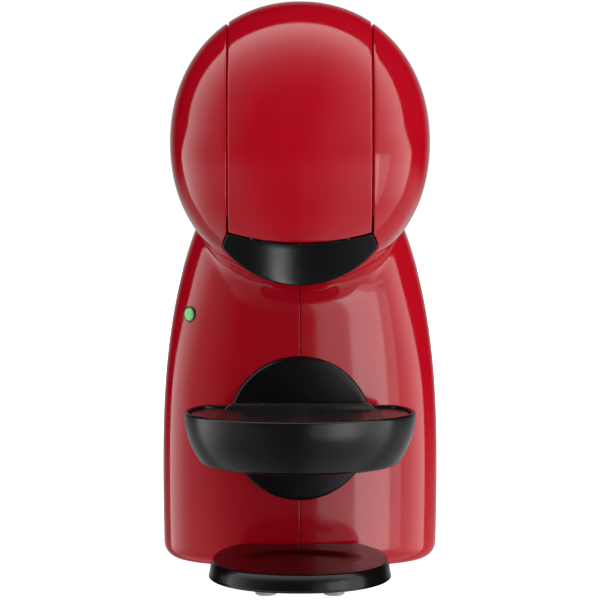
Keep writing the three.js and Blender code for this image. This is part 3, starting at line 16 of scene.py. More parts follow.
import bmesh
import bpy
import numpy as np
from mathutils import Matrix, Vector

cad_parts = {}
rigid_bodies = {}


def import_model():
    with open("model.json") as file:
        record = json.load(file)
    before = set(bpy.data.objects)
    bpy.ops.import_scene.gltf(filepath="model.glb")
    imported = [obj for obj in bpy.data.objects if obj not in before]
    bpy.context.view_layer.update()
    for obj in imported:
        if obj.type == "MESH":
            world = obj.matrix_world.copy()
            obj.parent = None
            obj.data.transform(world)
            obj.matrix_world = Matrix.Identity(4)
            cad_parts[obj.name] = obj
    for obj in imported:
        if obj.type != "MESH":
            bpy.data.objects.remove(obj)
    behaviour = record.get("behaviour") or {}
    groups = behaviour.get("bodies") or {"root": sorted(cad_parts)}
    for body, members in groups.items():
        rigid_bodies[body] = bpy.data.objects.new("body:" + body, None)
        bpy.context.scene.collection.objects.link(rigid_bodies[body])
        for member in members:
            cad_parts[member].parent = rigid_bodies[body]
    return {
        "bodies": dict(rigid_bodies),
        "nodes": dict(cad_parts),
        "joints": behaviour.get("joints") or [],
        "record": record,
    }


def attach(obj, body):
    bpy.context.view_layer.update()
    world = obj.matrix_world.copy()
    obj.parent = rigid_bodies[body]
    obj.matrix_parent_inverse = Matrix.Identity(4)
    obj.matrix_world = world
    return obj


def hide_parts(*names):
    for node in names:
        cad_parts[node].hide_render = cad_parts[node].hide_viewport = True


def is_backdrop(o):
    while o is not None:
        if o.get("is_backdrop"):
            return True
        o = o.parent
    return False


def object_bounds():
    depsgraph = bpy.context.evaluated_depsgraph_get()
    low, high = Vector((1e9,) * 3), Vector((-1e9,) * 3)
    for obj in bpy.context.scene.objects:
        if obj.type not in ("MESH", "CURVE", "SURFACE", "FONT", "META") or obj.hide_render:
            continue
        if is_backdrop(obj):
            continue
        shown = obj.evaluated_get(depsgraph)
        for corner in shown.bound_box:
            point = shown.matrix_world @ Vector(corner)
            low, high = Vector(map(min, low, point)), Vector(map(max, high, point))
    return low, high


Array = np.ndarray
Level = tuple[float, float, float]
Table = tuple[tuple[float, float], ...]
Blendable = TypeVar("Blendable", float, Array, "Signal")
log = logging.getLogger("coffee_machine")

MM = 0.001
WELD_REACH = 2e-3  # points this near to each other become one
HIDDEN_RADIUS = 0.3  # edge rounding of pieces that are seen only from close by
QUARTER = math.pi / 2
TABLE_TOP = 4.0  # highest value that a signal's table holds


class Axis(Enum):
    """The direction along which a prism or a turned piece is carried."""

    X = (1, 2, 0)
    Y = (2, 0, 1)
    Z = (0, 1, 2)

    def place(self, points: Array) -> Array:
        """Turns points whose last number runs along the axis into x, y, z.

        Args:
            points: An array (..., 3) of two numbers across the axis and one along it.

        Returns:
            The same points as x, y, z. Across X they are y and z, across Y z and x, across Z x and y.
        """
        out = np.empty_like(points)
        for source, target in enumerate(self.value):
            out[..., target] = points[..., source]
        return out


# ---------------------------------------------------------------- meshes from arrays
def blend(a: Blendable, b: Blendable, share: Blendable) -> Blendable:
    """Goes from a at share 0 to b at share 1, in a straight line; numbers, arrays or signals."""
    return a + (b - a) * share


def smooth_step(value: Array, low: float, high: float) -> Array:
    """Rises from 0 at low to 1 at high with flat ends: 3t^2 - 2t^3 of the share t."""
    t = np.clip((value - low) / (high - low), 0.0, 1.0)
    return t * t * (3.0 - 2.0 * t)


def soft_min(a: Array, b: Array, reach: Array | float) -> Array:
    """The lower of a and b, rounded where they differ by less than reach."""
    h = np.clip(0.5 + 0.5 * (b - a) / reach, 0.0, 1.0)
    return blend(b, a, h) - reach * h * (1.0 - h)


def soft_max(a: Array, b: Array, reach: Array | float) -> Array:
    """The higher of a and b, rounded where they differ by less than reach."""
    return -soft_min(-a, -b, reach)


def at_places(x: Array | float, y: Array | float, z: Array | float) -> Array:
    """Points (..., 3) from their coordinates, each an array or one number for all."""
    return np.stack(np.broadcast_arrays(x, y, z), -1)


def unit(vectors: Array) -> Array:
    """Vectors at length one; a vector of no length stays as it is."""
    length = np.linalg.norm(vectors, axis=-1, keepdims=True)
    return vectors / np.maximum(length, 1e-12)


def march(
    inside: Callable[[Array], Array], start: Array, direction: Array, reach: float, samples: int = 72
) -> Array:
    """Distance along each ray to the last place where a field turns from inside to outside.

    The field is read at even steps, and the last step that starts below zero is halved until it is narrow.

    Args:
        inside: Field of points (..., 3), below zero inside the form.
        start: Start of each ray, (n, 3).
        direction: Direction of each ray, (n, 3).
        reach: Length of the rays.
        samples: Number of even steps.

    Returns:
        One distance for each ray.
    """
    steps = np.linspace(0.0, reach, samples)
    below = inside(start[:, None, :] + direction[:, None, :] * steps[None, :, None]) < 0.0
    last = np.where(below.any(axis=1), samples - 1 - np.argmax(below[:, ::-1], axis=1), 0)
    ends = steps[last], steps[np.minimum(last + 1, samples - 1)]
    return solve_rising(lambda way: inside(start + direction * way[:, None]), *ends, 26)


def solve_rising(function: Callable[[Array], Array], low: Array, high: Array, rounds: int = 34) -> Array:
    """Where a rising function of one number is zero, for many numbers at once, by halving so many times."""
    for _ in range(rounds):
        middle = (low + high) / 2
        under = function(middle) < 0.0
        low, high = np.where(under, middle, low), np.where(under, high, middle)
    return (low + high) / 2


def rounded(
    corners: Array | Table, radius: float | Sequence[float], steps: int = 5, closed: bool = True
) -> Array:
    """Polyline with each corner replaced by a short parabola that leaves it radius before and after.

    Args:
        corners: The corners, (n, 2).
        radius: How far each curve starts from its corner, one number or one for each corner.
        steps: Points of each curve.
        closed: Whether the line runs back to its start; an open line keeps its two ends.

    Returns:
        The rounded line, (m, 2); a corner of no radius stays one point.
    """
    corners = np.asarray(corners, float)
    size = np.broadcast_to(np.asarray(radius, float), (len(corners),)).copy()
    before, after = np.roll(corners, 1, axis=0), np.roll(corners, -1, axis=0)
    if not closed:
        before[0], after[-1], size[0], size[-1] = corners[0], corners[-1], 0.0, 0.0
    start = corners + unit(before - corners) * size[:, None]
    end = corners + unit(after - corners) * size[:, None]
    t = np.linspace(0.0, 1.0, steps)[None, :, None]
    curve = (1 - t) ** 2 * start[:, None] + 2 * t * (1 - t) * corners[:, None] + t**2 * end[:, None]
    line = curve.reshape(-1, 2)
    ahead = np.roll(line, -1, axis=0)
    if not closed:
        ahead[-1] += 1.0
    return line[np.linalg.norm(ahead - line, axis=1) > 1e-6]


def shrunk(outline: Array, inset: float) -> Array:
    """Closed outline moved inwards by an inset, along the mean normal of the two sides at each point."""
    ahead = unit(np.roll(outline, -1, axis=0) - outline)
    behind = unit(outline - np.roll(outline, 1, axis=0))
    tangent = unit(ahead + behind)
    normal = np.stack([tangent[:, 1], -tangent[:, 0]], -1)
    area = np.sum(outline[:, 0] * np.roll(outline[:, 1], -1) - np.roll(outline[:, 0], -1) * outline[:, 1])
    stretch = 1.0 / np.maximum(0.5, np.sqrt((1 + np.sum(ahead * behind, -1)) / 2))
    return outline - np.sign(area) * inset * stretch[:, None] * normal


@dataclass
class Skin:
    """Points and four-cornered faces of one surface; a triangle repeats its last corner."""

    points: Array
    quads: Array

    def normals(self) -> Array:
        """Normal at each point: the mean of its faces' normals, each weighted by its area."""
        p = self.points[self.quads]
        across = np.cross(p[:, 2] - p[:, 0], p[:, 3] - p[:, 1])
        total = np.zeros_like(self.points)
        for corner in range(4):
            np.add.at(total, self.quads[:, corner], across)
        return unit(total)

    def facing_away(self, middle: Sequence[float]) -> "Skin":
        """The same skin, turned over if most of it faces a point that lies behind it."""
        p = self.points[self.quads]
        across = np.cross(p[:, 2] - p[:, 0], p[:, 3] - p[:, 1])
        out = np.sum(across * (p.mean(1) - np.asarray(middle, float)))
        return self if out > 0 else Skin(self.points, turned_over(self.quads))

    def thickened(self, thickness: float, edge: float | Callable[[Array], Array]) -> "Skin":
        """Closed wall behind an open skin, with its open edges rolled over.

        From each edge point B with normal N and outward tangent T, the roll runs through
        B + edge (sin a T - (1 - cos a) N) for a from 0 to a right angle, then straight down to the inner
        face, which is the skin moved by the thickness along -N.

        Args:
            thickness: Thickness of the wall.
            edge: Radius of the rolled edge, one number or a function of the edge points.

        Returns:
            The closed skin.
        """
        count, normal = len(self.points), self.normals()
        a, b = self.quads.ravel(), np.roll(self.quads, -1, axis=1).ravel()
        a, b = a[a != b], b[a != b]
        key = np.minimum(a, b) * count + np.maximum(a, b)
        _, place, times = np.unique(key, return_inverse=True, return_counts=True)
        a, b = a[times[place] == 1], b[times[place] == 1]
        side = np.zeros_like(self.points)
        for end in (a, b):
            np.add.at(side, end, unit(np.cross(self.points[b] - self.points[a], normal[end])))
        rim = np.unique(np.concatenate([a, b]))
        where = np.zeros(count, int)
        where[rim] = np.arange(len(rim))
        at, n, t = self.points[rim], normal[rim], unit(side[rim])
        radius = (edge(at) if callable(edge) else np.full(len(rim), edge))[:, None]
        rows = [at + radius * (math.sin(angle) * t - (1 - math.cos(angle)) * n) for angle in roll(4)[1:]]
        rows.append(at + radius * t - thickness * n)
        points = np.concatenate([self.points, self.points - thickness * normal, *rows])
        starts = [rim] + [2 * count + len(rim) * row + np.arange(len(rim)) for row in range(len(rows))]
        starts.append(count + rim)
        i, j = where[a], where[b]
        bands = [np.stack([up[j], up[i], low[i], low[j]], -1) for up, low in zip(starts, starts[1:])]
        return Skin(points, np.concatenate([self.quads, turned_over(self.quads) + count, *bands]))

    def smoothed(self, weight: Array, rounds: int) -> "Skin":
        """Skin with points drawn towards the mean of their neighbours, its open edges held.

        Args:
            weight: Share of the way that each point goes in one round, (n,).
            rounds: Number of rounds.

        Returns:
            The smoothed skin.
        """
        count = len(self.points)
        sides = np.stack([self.quads, np.roll(self.quads, -1, axis=1)], -1).reshape(-1, 2)
        sides = np.sort(sides[sides[:, 0] != sides[:, 1]], axis=1)
        sides, used = np.unique(sides, axis=0, return_counts=True)
        share = np.array(weight, float)
        share[sides[used == 1]] = 0.0
        one, other = np.concatenate([sides, sides[:, ::-1]]).T
        around = np.bincount(one, minlength=count)[:, None]
        points = self.points.copy()
        for _ in range(rounds):
            total = np.stack([np.bincount(one, points[other, i], count) for i in range(3)], -1)
            points += share[:, None] * (total / np.maximum(around, 1) - points)
        return Skin(points, self.quads)

    def mirrored(self) -> "Skin":
        """The same skin on the other side of x = 0, still facing outwards."""
        return Skin(self.points * (-1.0, 1.0, 1.0), turned_over(self.quads))


class Patchwork:
    """Grids and fans gathered into one surface."""

    def __init__(self) -> None:
        """Starts with no surface."""
        self.points: list[Array] = []
        self.quads: list[Array] = []
        self.count = 0

    def grid(self, points: Array, wrap: bool = False) -> "Patchwork":
        """Adds a grid of points.

        Args:
            points: An array (rows, columns, 3).
            wrap: Whether the last column joins the first.

        Returns:
            This patchwork.
        """
        rows, columns = points.shape[:2]
        index = np.arange(rows * columns).reshape(rows, columns) + self.count
        if wrap:
            index = np.concatenate([index, index[:, :1]], axis=1)
        corners = [index[:-1, :-1], index[:-1, 1:], index[1:, 1:], index[1:, :-1]]
        return self._add(points.reshape(-1, 3), np.stack(corners, -1).reshape(-1, 4))

    def fan(self, ring: Array) -> "Patchwork":
        """Closes a ring of points (n, 3) with triangles to its middle."""
        index = np.arange(len(ring)) + self.count
        middle = np.full_like(index, self.count + len(ring))
        corners = [index, np.roll(index, -1), middle, middle]
        return self._add(np.vstack([ring, ring.mean(0)]), np.stack(corners, -1))

    def skin(self, skin: Skin) -> "Patchwork":
        """Adds a skin as it is."""
        return self._add(skin.points, skin.quads + self.count)

    def _add(self, points: Array, quads: Array) -> "Patchwork":
        """Keeps points and the faces that use them."""
        self.points.append(points)
        self.quads.append(quads)
        self.count += len(points)
        return self

    def gathered(self) -> Skin:
        """One skin of all that was added, as it is."""
        return Skin(np.concatenate(self.points), np.concatenate(self.quads))

    def welded(self) -> Skin:
        """One skin with doubled points merged and all faces turned outwards."""
        mesh = mesh_of("weld", self.gathered(), 1.0)
        work = bmesh.new()
        work.from_mesh(mesh)
        bmesh.ops.remove_doubles(work, verts=work.verts, dist=WELD_REACH)
        bmesh.ops.recalc_face_normals(work, faces=work.faces)
        work.to_mesh(mesh)
        work.free()

        def read(items: Sequence, name: str, kind: type, width: int = 1) -> Array:
            """One property of all items of the mesh."""
            values = np.empty(len(items) * width, kind)
            items.foreach_get(name, values)
            return values

        points = read(mesh.vertices, "co", float, 3).reshape(-1, 3)
        start, total = (read(mesh.polygons, name, int)[:, None] for name in ("loop_start", "loop_total"))
        quads = read(mesh.loops, "vertex_index", int)[start + np.minimum(np.arange(4)[None], total - 1)]
        bpy.data.meshes.remove(mesh)
        return Skin(points, quads)


def turned_over(quads: Array) -> Array:
    """Faces with their corners in the opposite order; a triangle still repeats its last corner."""
    triangle = (quads[:, 2] == quads[:, 3])[:, None]
    return np.where(triangle, quads[:, [2, 1, 0, 0]], quads[:, ::-1])


def mesh_of(name: str, skin: Skin, scale: float = MM) -> bpy.types.Mesh:
    """Blender mesh of a skin.

    Args:
        name: Name of the mesh.
        skin: The skin, in millimetres.
        scale: What a millimetre becomes.

    Returns:
        The mesh.
    """
    same = skin.quads[:, 2] == skin.quads[:, 3]
    faces = skin.quads[~same].tolist() + skin.quads[same][:, :3].tolist()
    mesh = bpy.data.meshes.new(name)
    mesh.from_pydata((skin.points * scale).tolist(), [], faces)
    mesh.update()
    return mesh


def once_round(sides: int, start: float = 0.0) -> Array:
    """Even angles once round."""
    return np.arange(sides) * (2 * math.pi / sides) + start


def roll(steps: int) -> Array:
    """Even angles over a quarter turn, (steps + 1)."""
    return np.linspace(0.0, QUARTER, steps + 1)


def tube(rings: Array | Sequence[Array], capped: bool = True) -> Skin:
    """Rings of points, (rows, columns, 3), joined one after the other.

    Args:
        rings: The rings, all with as many points.
        capped: Whether fans close the first and the last ring.

    Returns:
        The welded skin.
    """
    rings = np.asarray(rings)
    patch = Patchwork().grid(rings, wrap=True)
    return (patch.fan(rings[0]).fan(rings[-1]) if capped else patch).welded()


def turned(profile: Array, centre: Sequence[float] = (0, 0), axis: Axis = Axis.Z, sides: int = 64) -> Skin:
    """Closed solid of revolution: each profile point (radius, height) runs round the axis.

    Args:
        profile: Radius and height, (n, 2), from one end of the axis to the other, or a closed ring.
        centre: Place of the axis, in the two directions across it.
        axis: Direction of the axis.
        sides: Points round the axis.

    Returns:
        The closed skin.
    """
    profile = np.asarray(profile, float)
    around = np.stack([np.cos(once_round(sides)), np.sin(once_round(sides))], -1)
    across = profile[:, None, :1] * around[None] + np.asarray(centre, float)
    return tube(axis.place(at_places(across[..., 0], across[..., 1], profile[:, 1:])), capped=False)


def rod(radius: float, low: float, high: float, centre: Sequence[float], axis: Axis, sides: int) -> Skin:
    """Closed round rod from low to high along an axis."""
    return turned([(0, low), (radius, low), (radius, high), (0, high)], centre, axis, sides)


def prism(outline: Array, low: float, high: float, edge: float = HIDDEN_RADIUS, axis: Axis = Axis.Z) -> Skin:
    """Closed outline carried along an axis, with both end edges rounded.

    At each end the outline shrinks by edge (1 - sin a) while it moves in by edge (1 - cos a).

    Args:
        outline: The outline, (n, 2), in the two directions across the axis, round its own middle.
        low: Lower end.
        high: Upper end.
        edge: Radius of the rounded end edges.
        axis: Direction along which it is carried.

    Returns:
        The closed skin.
    """
    inset, rise = edge * (1 - np.sin(roll(3))), edge * (1 - np.cos(roll(3)))
    levels = np.concatenate([low + rise, high - rise[::-1]])
    insets = np.concatenate([inset, inset[::-1]])
    across = np.stack([shrunk(outline, value) for value in insets])
    return tube(axis.place(at_places(across[..., 0], across[..., 1], levels[:, None])))


def rectangle(x0: float, x1: float, y0: float, y1: float, radius: float = 0.8) -> Array:
    """Rectangle with rounded corners, (n, 2)."""
    return rounded([(x0, y0), (x1, y0), (x1, y1), (x0, y1)], radius)


def block(
    low: Level, high: Level, radius: float = 0.8, edge: float = HIDDEN_RADIUS, axis: Axis = Axis.Z
) -> Skin:
    """Box with rounded corners across an axis and rounded end edges along it."""
    one, other, along = axis.value
    flat = rectangle(low[one], high[one], low[other], high[other], radius)
    return prism(flat, low[along], high[along], edge, axis)


def joined(*skins: Skin) -> Skin:
    """Several closed skins as one."""
    patch = Patchwork()
    for skin in skins:
        patch.skin(skin)
    return patch.gathered()


def linked(name: str, data: bpy.types.ID) -> bpy.types.Object:
    """New object in the scene."""
    made = bpy.data.objects.new(name, data)
    bpy.context.scene.collection.objects.link(made)
    return made


def cut(skin: Skin, *cutters: Skin) -> bpy.types.Mesh:
    """Skin with cutters taken away from it one after the other.

    Args:
        skin: The skin, closed.
        cutters: Closed skins.

    Returns:
        The cut mesh.
    """
    work = linked("cut_work", mesh_of("cut_work", skin))
    tools = [linked("cut_tool", mesh_of("cut_tool", cutter)) for cutter in cutters]
    for tool in tools:
        modifier = work.modifiers.new("cut", "BOOLEAN")
        modifier.operation, modifier.object, modifier.solver = "DIFFERENCE", tool, "EXACT"
    result = bpy.data.meshes.new_from_object(work.evaluated_get(bpy.context.evaluated_depsgraph_get()))
    for used in (work, *tools):
        shape = used.data
        bpy.data.objects.remove(used)
        bpy.data.meshes.remove(shape)
    return result


# ---------------------------------------------------------------- numbers inside node trees
class Signal:
    """A number inside a node tree. Arithmetic on it adds Math nodes."""

    def __init__(self, tree: bpy.types.NodeTree, socket: bpy.types.NodeSocket) -> None:
        """Wraps an output socket of a tree."""
        self.tree, self.socket = tree, socket

    def math(self, operation: str, *others: "Signal | float") -> "Signal":
        """Result of a Math node on this number and others."""
        made = new_node(self.tree, "ShaderNodeMath", dict(enumerate((self, *others))), operation=operation)
        return Signal(self.tree, made.outputs[0])

    def __add__(self, other: "Signal | float") -> "Signal":
        """Sum."""
        return self.math("ADD", other)

    def __mul__(self, other: "Signal | float") -> "Signal":
        """Product."""
        return self.math("MULTIPLY", other)

    def __sub__(self, other: "Signal | float") -> "Signal":
        """Difference."""
        return self.math("SUBTRACT", other)

    def ramp(self, low: float, high: float, start: float = 0.0, end: float = 1.0) -> "Signal":
        """Goes from start at low to end at high with flat ends."""
        values = {"Value": self, "From Min": low, "From Max": high, "To Min": start, "To Max": end}
        made = new_node(self.tree, "ShaderNodeMapRange", values, interpolation_type="SMOOTHSTEP")
        return Signal(self.tree, made.outputs["Result"])

    def table(self, stops: Table) -> "Signal":
        """Runs in straight lines through pairs of place (0 to 1) and value (0 to TABLE_TOP)."""
        made = new_node(self.tree, "ShaderNodeValToRGB", {0: self})
        points = made.color_ramp.elements
        points.remove(points[1])
        for index, (place, value) in enumerate(stops):
            point = points[0] if index == 0 else points.new(place)
            point.position, point.color = place, (*[value / TABLE_TOP] * 3, 1.0)
        return Signal(self.tree, made.outputs["Color"]) * TABLE_TOP


def feed(node: bpy.types.Node, inputs: dict[str | int, Any]) -> None:
    """Sets inputs of a node to values, or links them to signals and sockets.

    Args:
        node: the node that is fed.
        inputs: a value, signal or socket for each input, by its name or number.
    """
    for key, value in inputs.items():
        if isinstance(value, (Signal, bpy.types.NodeSocket)):
            node.id_data.links.new(getattr(value, "socket", value), node.inputs[key])
        else:
            node.inputs[key].default_value = value


def new_node(
    tree: bpy.types.NodeTree, kind: str, inputs: dict[str | int, Any], **settings: str
) -> bpy.types.Node:
    """New node of a kind with its settings made and its inputs fed.

    Args:
        tree: where the node goes.
        kind: the node's type.
        inputs: a value, signal or socket for each input, by its name or number.
        settings: the node's own properties.

    Returns:
        The node.
    """
    node = tree.nodes.new(kind)
    for name, value in settings.items():
        setattr(node, name, value)
    feed(node, inputs)
    return node


# ---------------------------------------------------------------- finishes
@dataclass(frozen=True)
class Finish:
    """Moulded, painted, rubbed or metal surface with fine unevenness in colour, gloss and height."""

    name: str
    colour: Level
    roughness: float = 0.3
    rough_spread: float = 0.04
    shade_spread: float = 0.05
    metallic: float = 0.0
    specular: float = 0.5
    coat: float = 0.0
    coat_roughness: float = 0.03
    grain: float = 900.0  # grain cells in a metre
    relief: float = 0.00001  # height of the grain
    relief_strength: float = 0.2
    stretch: Level = (1.0, 1.0, 1.0)
    transmission: float = 0.0
    ior: float = 1.5
    glow: float = 0.0

    NOISE_SPAN: ClassVar[tuple[float, float]] = (0.3, 0.7)  # where most of a noise's values lie
    CLOUD: ClassVar[int] = 24  # grain cells across one cloud of the colour
    SMEAR: ClassVar[int] = 7  # and across one smear of the gloss
    SMOOTHEST: ClassVar[float] = 0.02  # least roughness

    def noise(self, tree: bpy.types.NodeTree, scale: float, detail: float = 3.0) -> Signal:
        """Noise on the piece's own coordinates, with so many cells in a metre."""
        where = tree.nodes.new("ShaderNodeTexCoord").outputs["Object"]
        turn = new_node(tree, "ShaderNodeMapping", {"Vector": where, "Scale": self.stretch})
        values = {"Vector": turn.outputs["Vector"], "Scale": scale, "Detail": detail}
        return Signal(tree, new_node(tree, "ShaderNodeTexNoise", values).outputs["Fac"])

    def material(self) -> bpy.types.Material:
        """The finish as a material, made once."""
        if ready := bpy.data.materials.get(self.name):
            return ready
        material = bpy.data.materials.new(self.name)
        material.use_nodes = True
        tree = material.node_tree
        dark, light = (
            (*(channel * share for channel in self.colour), 1.0)
            for share in (1 - self.shade_spread, 1 + self.shade_spread)
        )
        cloud = self.noise(tree, self.grain / self.CLOUD).ramp(*self.NOISE_SPAN)
        mix = new_node(tree, "ShaderNodeMix", {0: cloud, 6: dark, 7: light}, data_type="RGBA")
        gloss = max(self.SMOOTHEST, self.roughness - self.rough_spread), self.roughness + self.rough_spread
        smears = self.noise(tree, self.grain / self.SMEAR, 5.0).ramp(*self.NOISE_SPAN, *gloss)
        height = self.noise(tree, self.grain, 2.0)
        values = {"Strength": self.relief_strength, "Distance": self.relief, "Height": height}
        feed(tree.nodes["Principled BSDF"], {
            "Metallic": self.metallic,
            "Specular IOR Level": self.specular,
            "Coat Weight": self.coat,
            "Coat Roughness": self.coat_roughness,
            "Transmission Weight": self.transmission,
            "IOR": self.ior,
            "Base Color": mix.outputs[2],
            "Roughness": smears,
            "Normal": new_node(tree, "ShaderNodeBump", values).outputs["Normal"],
        })
        if self.glow:
            glow = {"Emission Color": (*self.colour, 1.0), "Emission Strength": self.glow}
            feed(tree.nodes["Principled BSDF"], glow)
        return material


class Finishes:
    """The machine's finishes, one for each material slot and some for single pieces."""

    RED = Finish("gloss_red", (0.575, 0.0022, 0.0145), 0.10, 0.02, 0.015, specular=0.5, relief=4e-6, grain=700)
    BLACK = Finish("gloss_black", (0.005, 0.005, 0.0055), 0.14, 0.02, 0.12, relief=5e-6, grain=800)
    DRAWER_BLACK = replace(
        BLACK, name="drawer_black", colour=(0.004, 0.004, 0.0045), roughness=0.24, specular=0.2)
    PLATE_BLACK = replace(BLACK, name="plate_black", colour=(0.004, 0.003, 0.003), roughness=0.2, specular=0.24)
    TRAY_BLACK = replace(BLACK, name="tray_black", roughness=0.25, rough_spread=0.03, specular=0.3)
    GRID_BLACK = Finish("grid_black", (0.005, 0.005, 0.0055), 0.34, 0.05, 0.12, specular=0.2, relief=8e-6)
    DARK = Finish("dark_plastic", (0.013, 0.013, 0.015), 0.5, 0.08, 0.15, relief=4e-5, grain=1600)
    RUBBER = Finish("rubber_dark", (0.12, 0.12, 0.125), 0.6, 0.08, 0.1, relief=5e-5, grain=1500)
    PALE_RUBBER = Finish("rubber_pale", (0.5, 0.5, 0.51), 0.55, 0.08, 0.08, relief=5e-5, grain=1500)
    SILICONE = Finish("silicone_pale", (0.68, 0.66, 0.62), 0.45, 0.06, 0.05, relief=3e-5)
    STEEL = Finish("steel", (0.6, 0.61, 0.62), 0.28, 0.1, 0.06, metallic=1.0, grain=1200, stretch=(1, 1, 0.12))
    ALUMINIUM = Finish("heater_aluminium", (0.62, 0.63, 0.64), 0.45, 0.12, 0.08, metallic=1.0, relief=9e-5)
    SMOKE = Finish("tank_smoke", (0.34, 0.35, 0.37), 0.04, 0.02, 0.03, transmission=1.0, ior=1.49, relief=4e-6)
    GREEN = Finish("green_light", (0.29, 1.0, 0.33), 0.35, 0.05, 0.08, glow=1.3, relief=2e-5)
    BOARD = Finish("board_green", (0.03, 0.16, 0.07), 0.45, 0.1, 0.2, relief=4e-5, grain=2400)
    COPPER = Finish("coil_copper", (0.55, 0.27, 0.12), 0.35, 0.08, 0.15, metallic=1.0, stretch=(0.1, 0.1, 6))

    BY_SLOT = {"shell_red": RED} | {
        finish.name: finish
        for finish in (BLACK, GRID_BLACK, DARK, RUBBER, SILICONE, STEEL, ALUMINIUM, SMOKE, GREEN, BOARD, COPPER)
    }


# ---------------------------------------------------------------- the machine's forms
@dataclass(frozen=True)
class Head:
    """Drum lying along Y, with a domed front and a rounded back."""

    half_width: float = 62.0
    half_height: float = 67.0
    centre_z: float = 208.0
    section_power: float = 2.1
    front_y: float = -90.0
    back_y: float = 62.0
    dome_y: float = -25.0
    taper_y: float = 5.0
    dome_power: float = 3.4
    back_power: float = 2.6
    reach: float = 120.0  # from inside the head to well outside it

    def share(self, y: Array) -> Array:
        """Size of the section at y: the root of one less the dome's and the back's powers of the way out."""
        ahead = np.maximum(0.0, (self.dome_y - y) / (self.dome_y - self.front_y))
        behind = np.maximum(0.0, (y - self.taper_y) / (self.back_y - self.taper_y))
        left = 1.0 - ahead**self.dome_power - behind**self.back_power
        return np.sign(left) * np.sqrt(np.abs(left))

    def field(self, points: Array) -> Array:
        """Below zero inside the head: the section's own size at the point less the size that it has there."""
        across = (np.abs(points[..., 0]) / self.half_width) ** self.section_power
        up = (np.abs(points[..., 2] - self.centre_z) / self.half_height) ** self.section_power
        return 64.0 * ((across + up) ** (1 / self.section_power) - self.share(points[..., 1]))

    def top(self, y: float) -> float:
        """Height of the top of the head at y."""
        return self.centre_z + self.half_height * float(self.share(np.array(y)))


@dataclass(frozen=True)
class Column:
    """Upright body: a superellipse in plan, widest at the belly, with a keel in front and a bay behind."""

    half_width: float = 69.98
    belly_z: float = 45.0
    rise: float = 175.0
    rise_power: float = 2.4
    foot_draft: float = 0.7
    mid_y: float = 20.0
    front_y: float = -23.0
    back_y: float = 110.0
    front_power: float = 2.4
    back_power: float = 3.2
    bottom_z: float = 0.4
    edge_radius: float = 7.6
    top_z: float = 205.0
    keel: float = 0.05
    bay_y: float = 62.5
    shelf_z: float = 26.0
    shelf_lip: float = 1.0
    under_lip: float = 2.2

    def width(self, z: Array) -> Array:
        """Half width at a height: a superellipse above the belly, a faint draft below it."""
        up = np.maximum(0.0, (z - self.belly_z) / self.rise) ** self.rise_power
        down = np.maximum(0.0, (self.belly_z - z) / self.belly_z) ** 2
        return self.half_width * np.sqrt(np.maximum(1e-4, 1 - up)) - self.foot_draft * down

    def plan(self, points: Array, inset: Array | float, floor: float = 0.0) -> Array:
        """Below zero inside the plan at the point's height.

        Args:
            points: Points (..., 3).
            inset: How far the plan is drawn in, one number or one for each point.
            floor: Least half width.

        Returns:
            The superellipse's own size at the point less one, times 45.
        """
        x, y = np.abs(points[..., 0]), points[..., 1]
        wide = np.maximum(self.width(points[..., 2]), floor) - inset
        share = np.minimum(x / wide, 1.0)
        front = self.mid_y - y + self.keel * x * (1 - share)
        ahead = y < self.mid_y
        depth = np.where(ahead, self.mid_y - self.front_y, self.back_y - self.mid_y) - inset
        p = np.where(ahead, self.front_power, self.back_power)
        along = np.where(ahead, np.abs(front), np.abs(self.mid_y - y))
        return 45.0 * (((x / wide) ** p + (along / depth) ** p) ** (1 / p) - 1.0)


HEAD = Head()
COLUMN = Column()


@dataclass(frozen=True)
class Strip:
    """Tapered strip over the head that the locking handle and the cover behind it fill."""

    half_width: float = 36.1
    taper: float = 0.025
    edge_z: float = 160.3
    edge_radius: float = 121.0

    def width(self, y: Array) -> Array:
        """Half width of the strip at y."""
        return self.half_width + self.taper * (y - COLUMN.mid_y)

    def arc(self, x: Array, grow: float = 0.0) -> Array:
        """Height of the arched lower edge at x, for a radius grown by so much."""
        radius = self.edge_radius + grow
        return self.edge_z + self.edge_radius - np.sqrt(radius**2 - np.square(x))


STRIP = Strip()
HINGE_Y = 20.0
HINGE_Z = HEAD.top(HINGE_Y) - 10.4


class Kit:
    """Makes finished objects and ties them to the frame."""

    def __init__(self) -> None:
        """Starts with every CAD node still showing."""
        self.replaced: set[str] = set()

    def add(
        self,
        name: str,
        shape: Skin | bpy.types.Mesh,
        finish: Finish,
        body: str,
        slot: str,
        *nodes: str,
        sharp: float = 32.0,
    ) -> bpy.types.Object:
        """Makes one piece and ties it to its body and CAD nodes.

        Args:
            name: Name of the piece.
            shape: Its skin in millimetres, or its mesh in metres.
            finish: Its finish.
            body: CAD body that it rides on.
            slot: Name of a material slot; not used.
            nodes: CAD nodes that it stands for.
            sharp: Angle in degrees past which an edge stays sharp.

        Returns:
            The piece.
        """
        mesh = mesh_of(name, shape) if isinstance(shape, Skin) else shape
        mesh.name = name
        mesh.materials.clear()
        mesh.materials.append(finish.material())
        mesh.polygons.foreach_set("use_smooth", np.ones(len(mesh.polygons), bool))
        mesh.set_sharp_from_angle(angle=math.radians(sharp))
        piece = linked(name, mesh)
        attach(piece, body)
        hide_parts(*nodes)
        self.replaced.update(nodes)
        log.info("%s: %d faces on %s", name, len(mesh.polygons), body)
        return piece


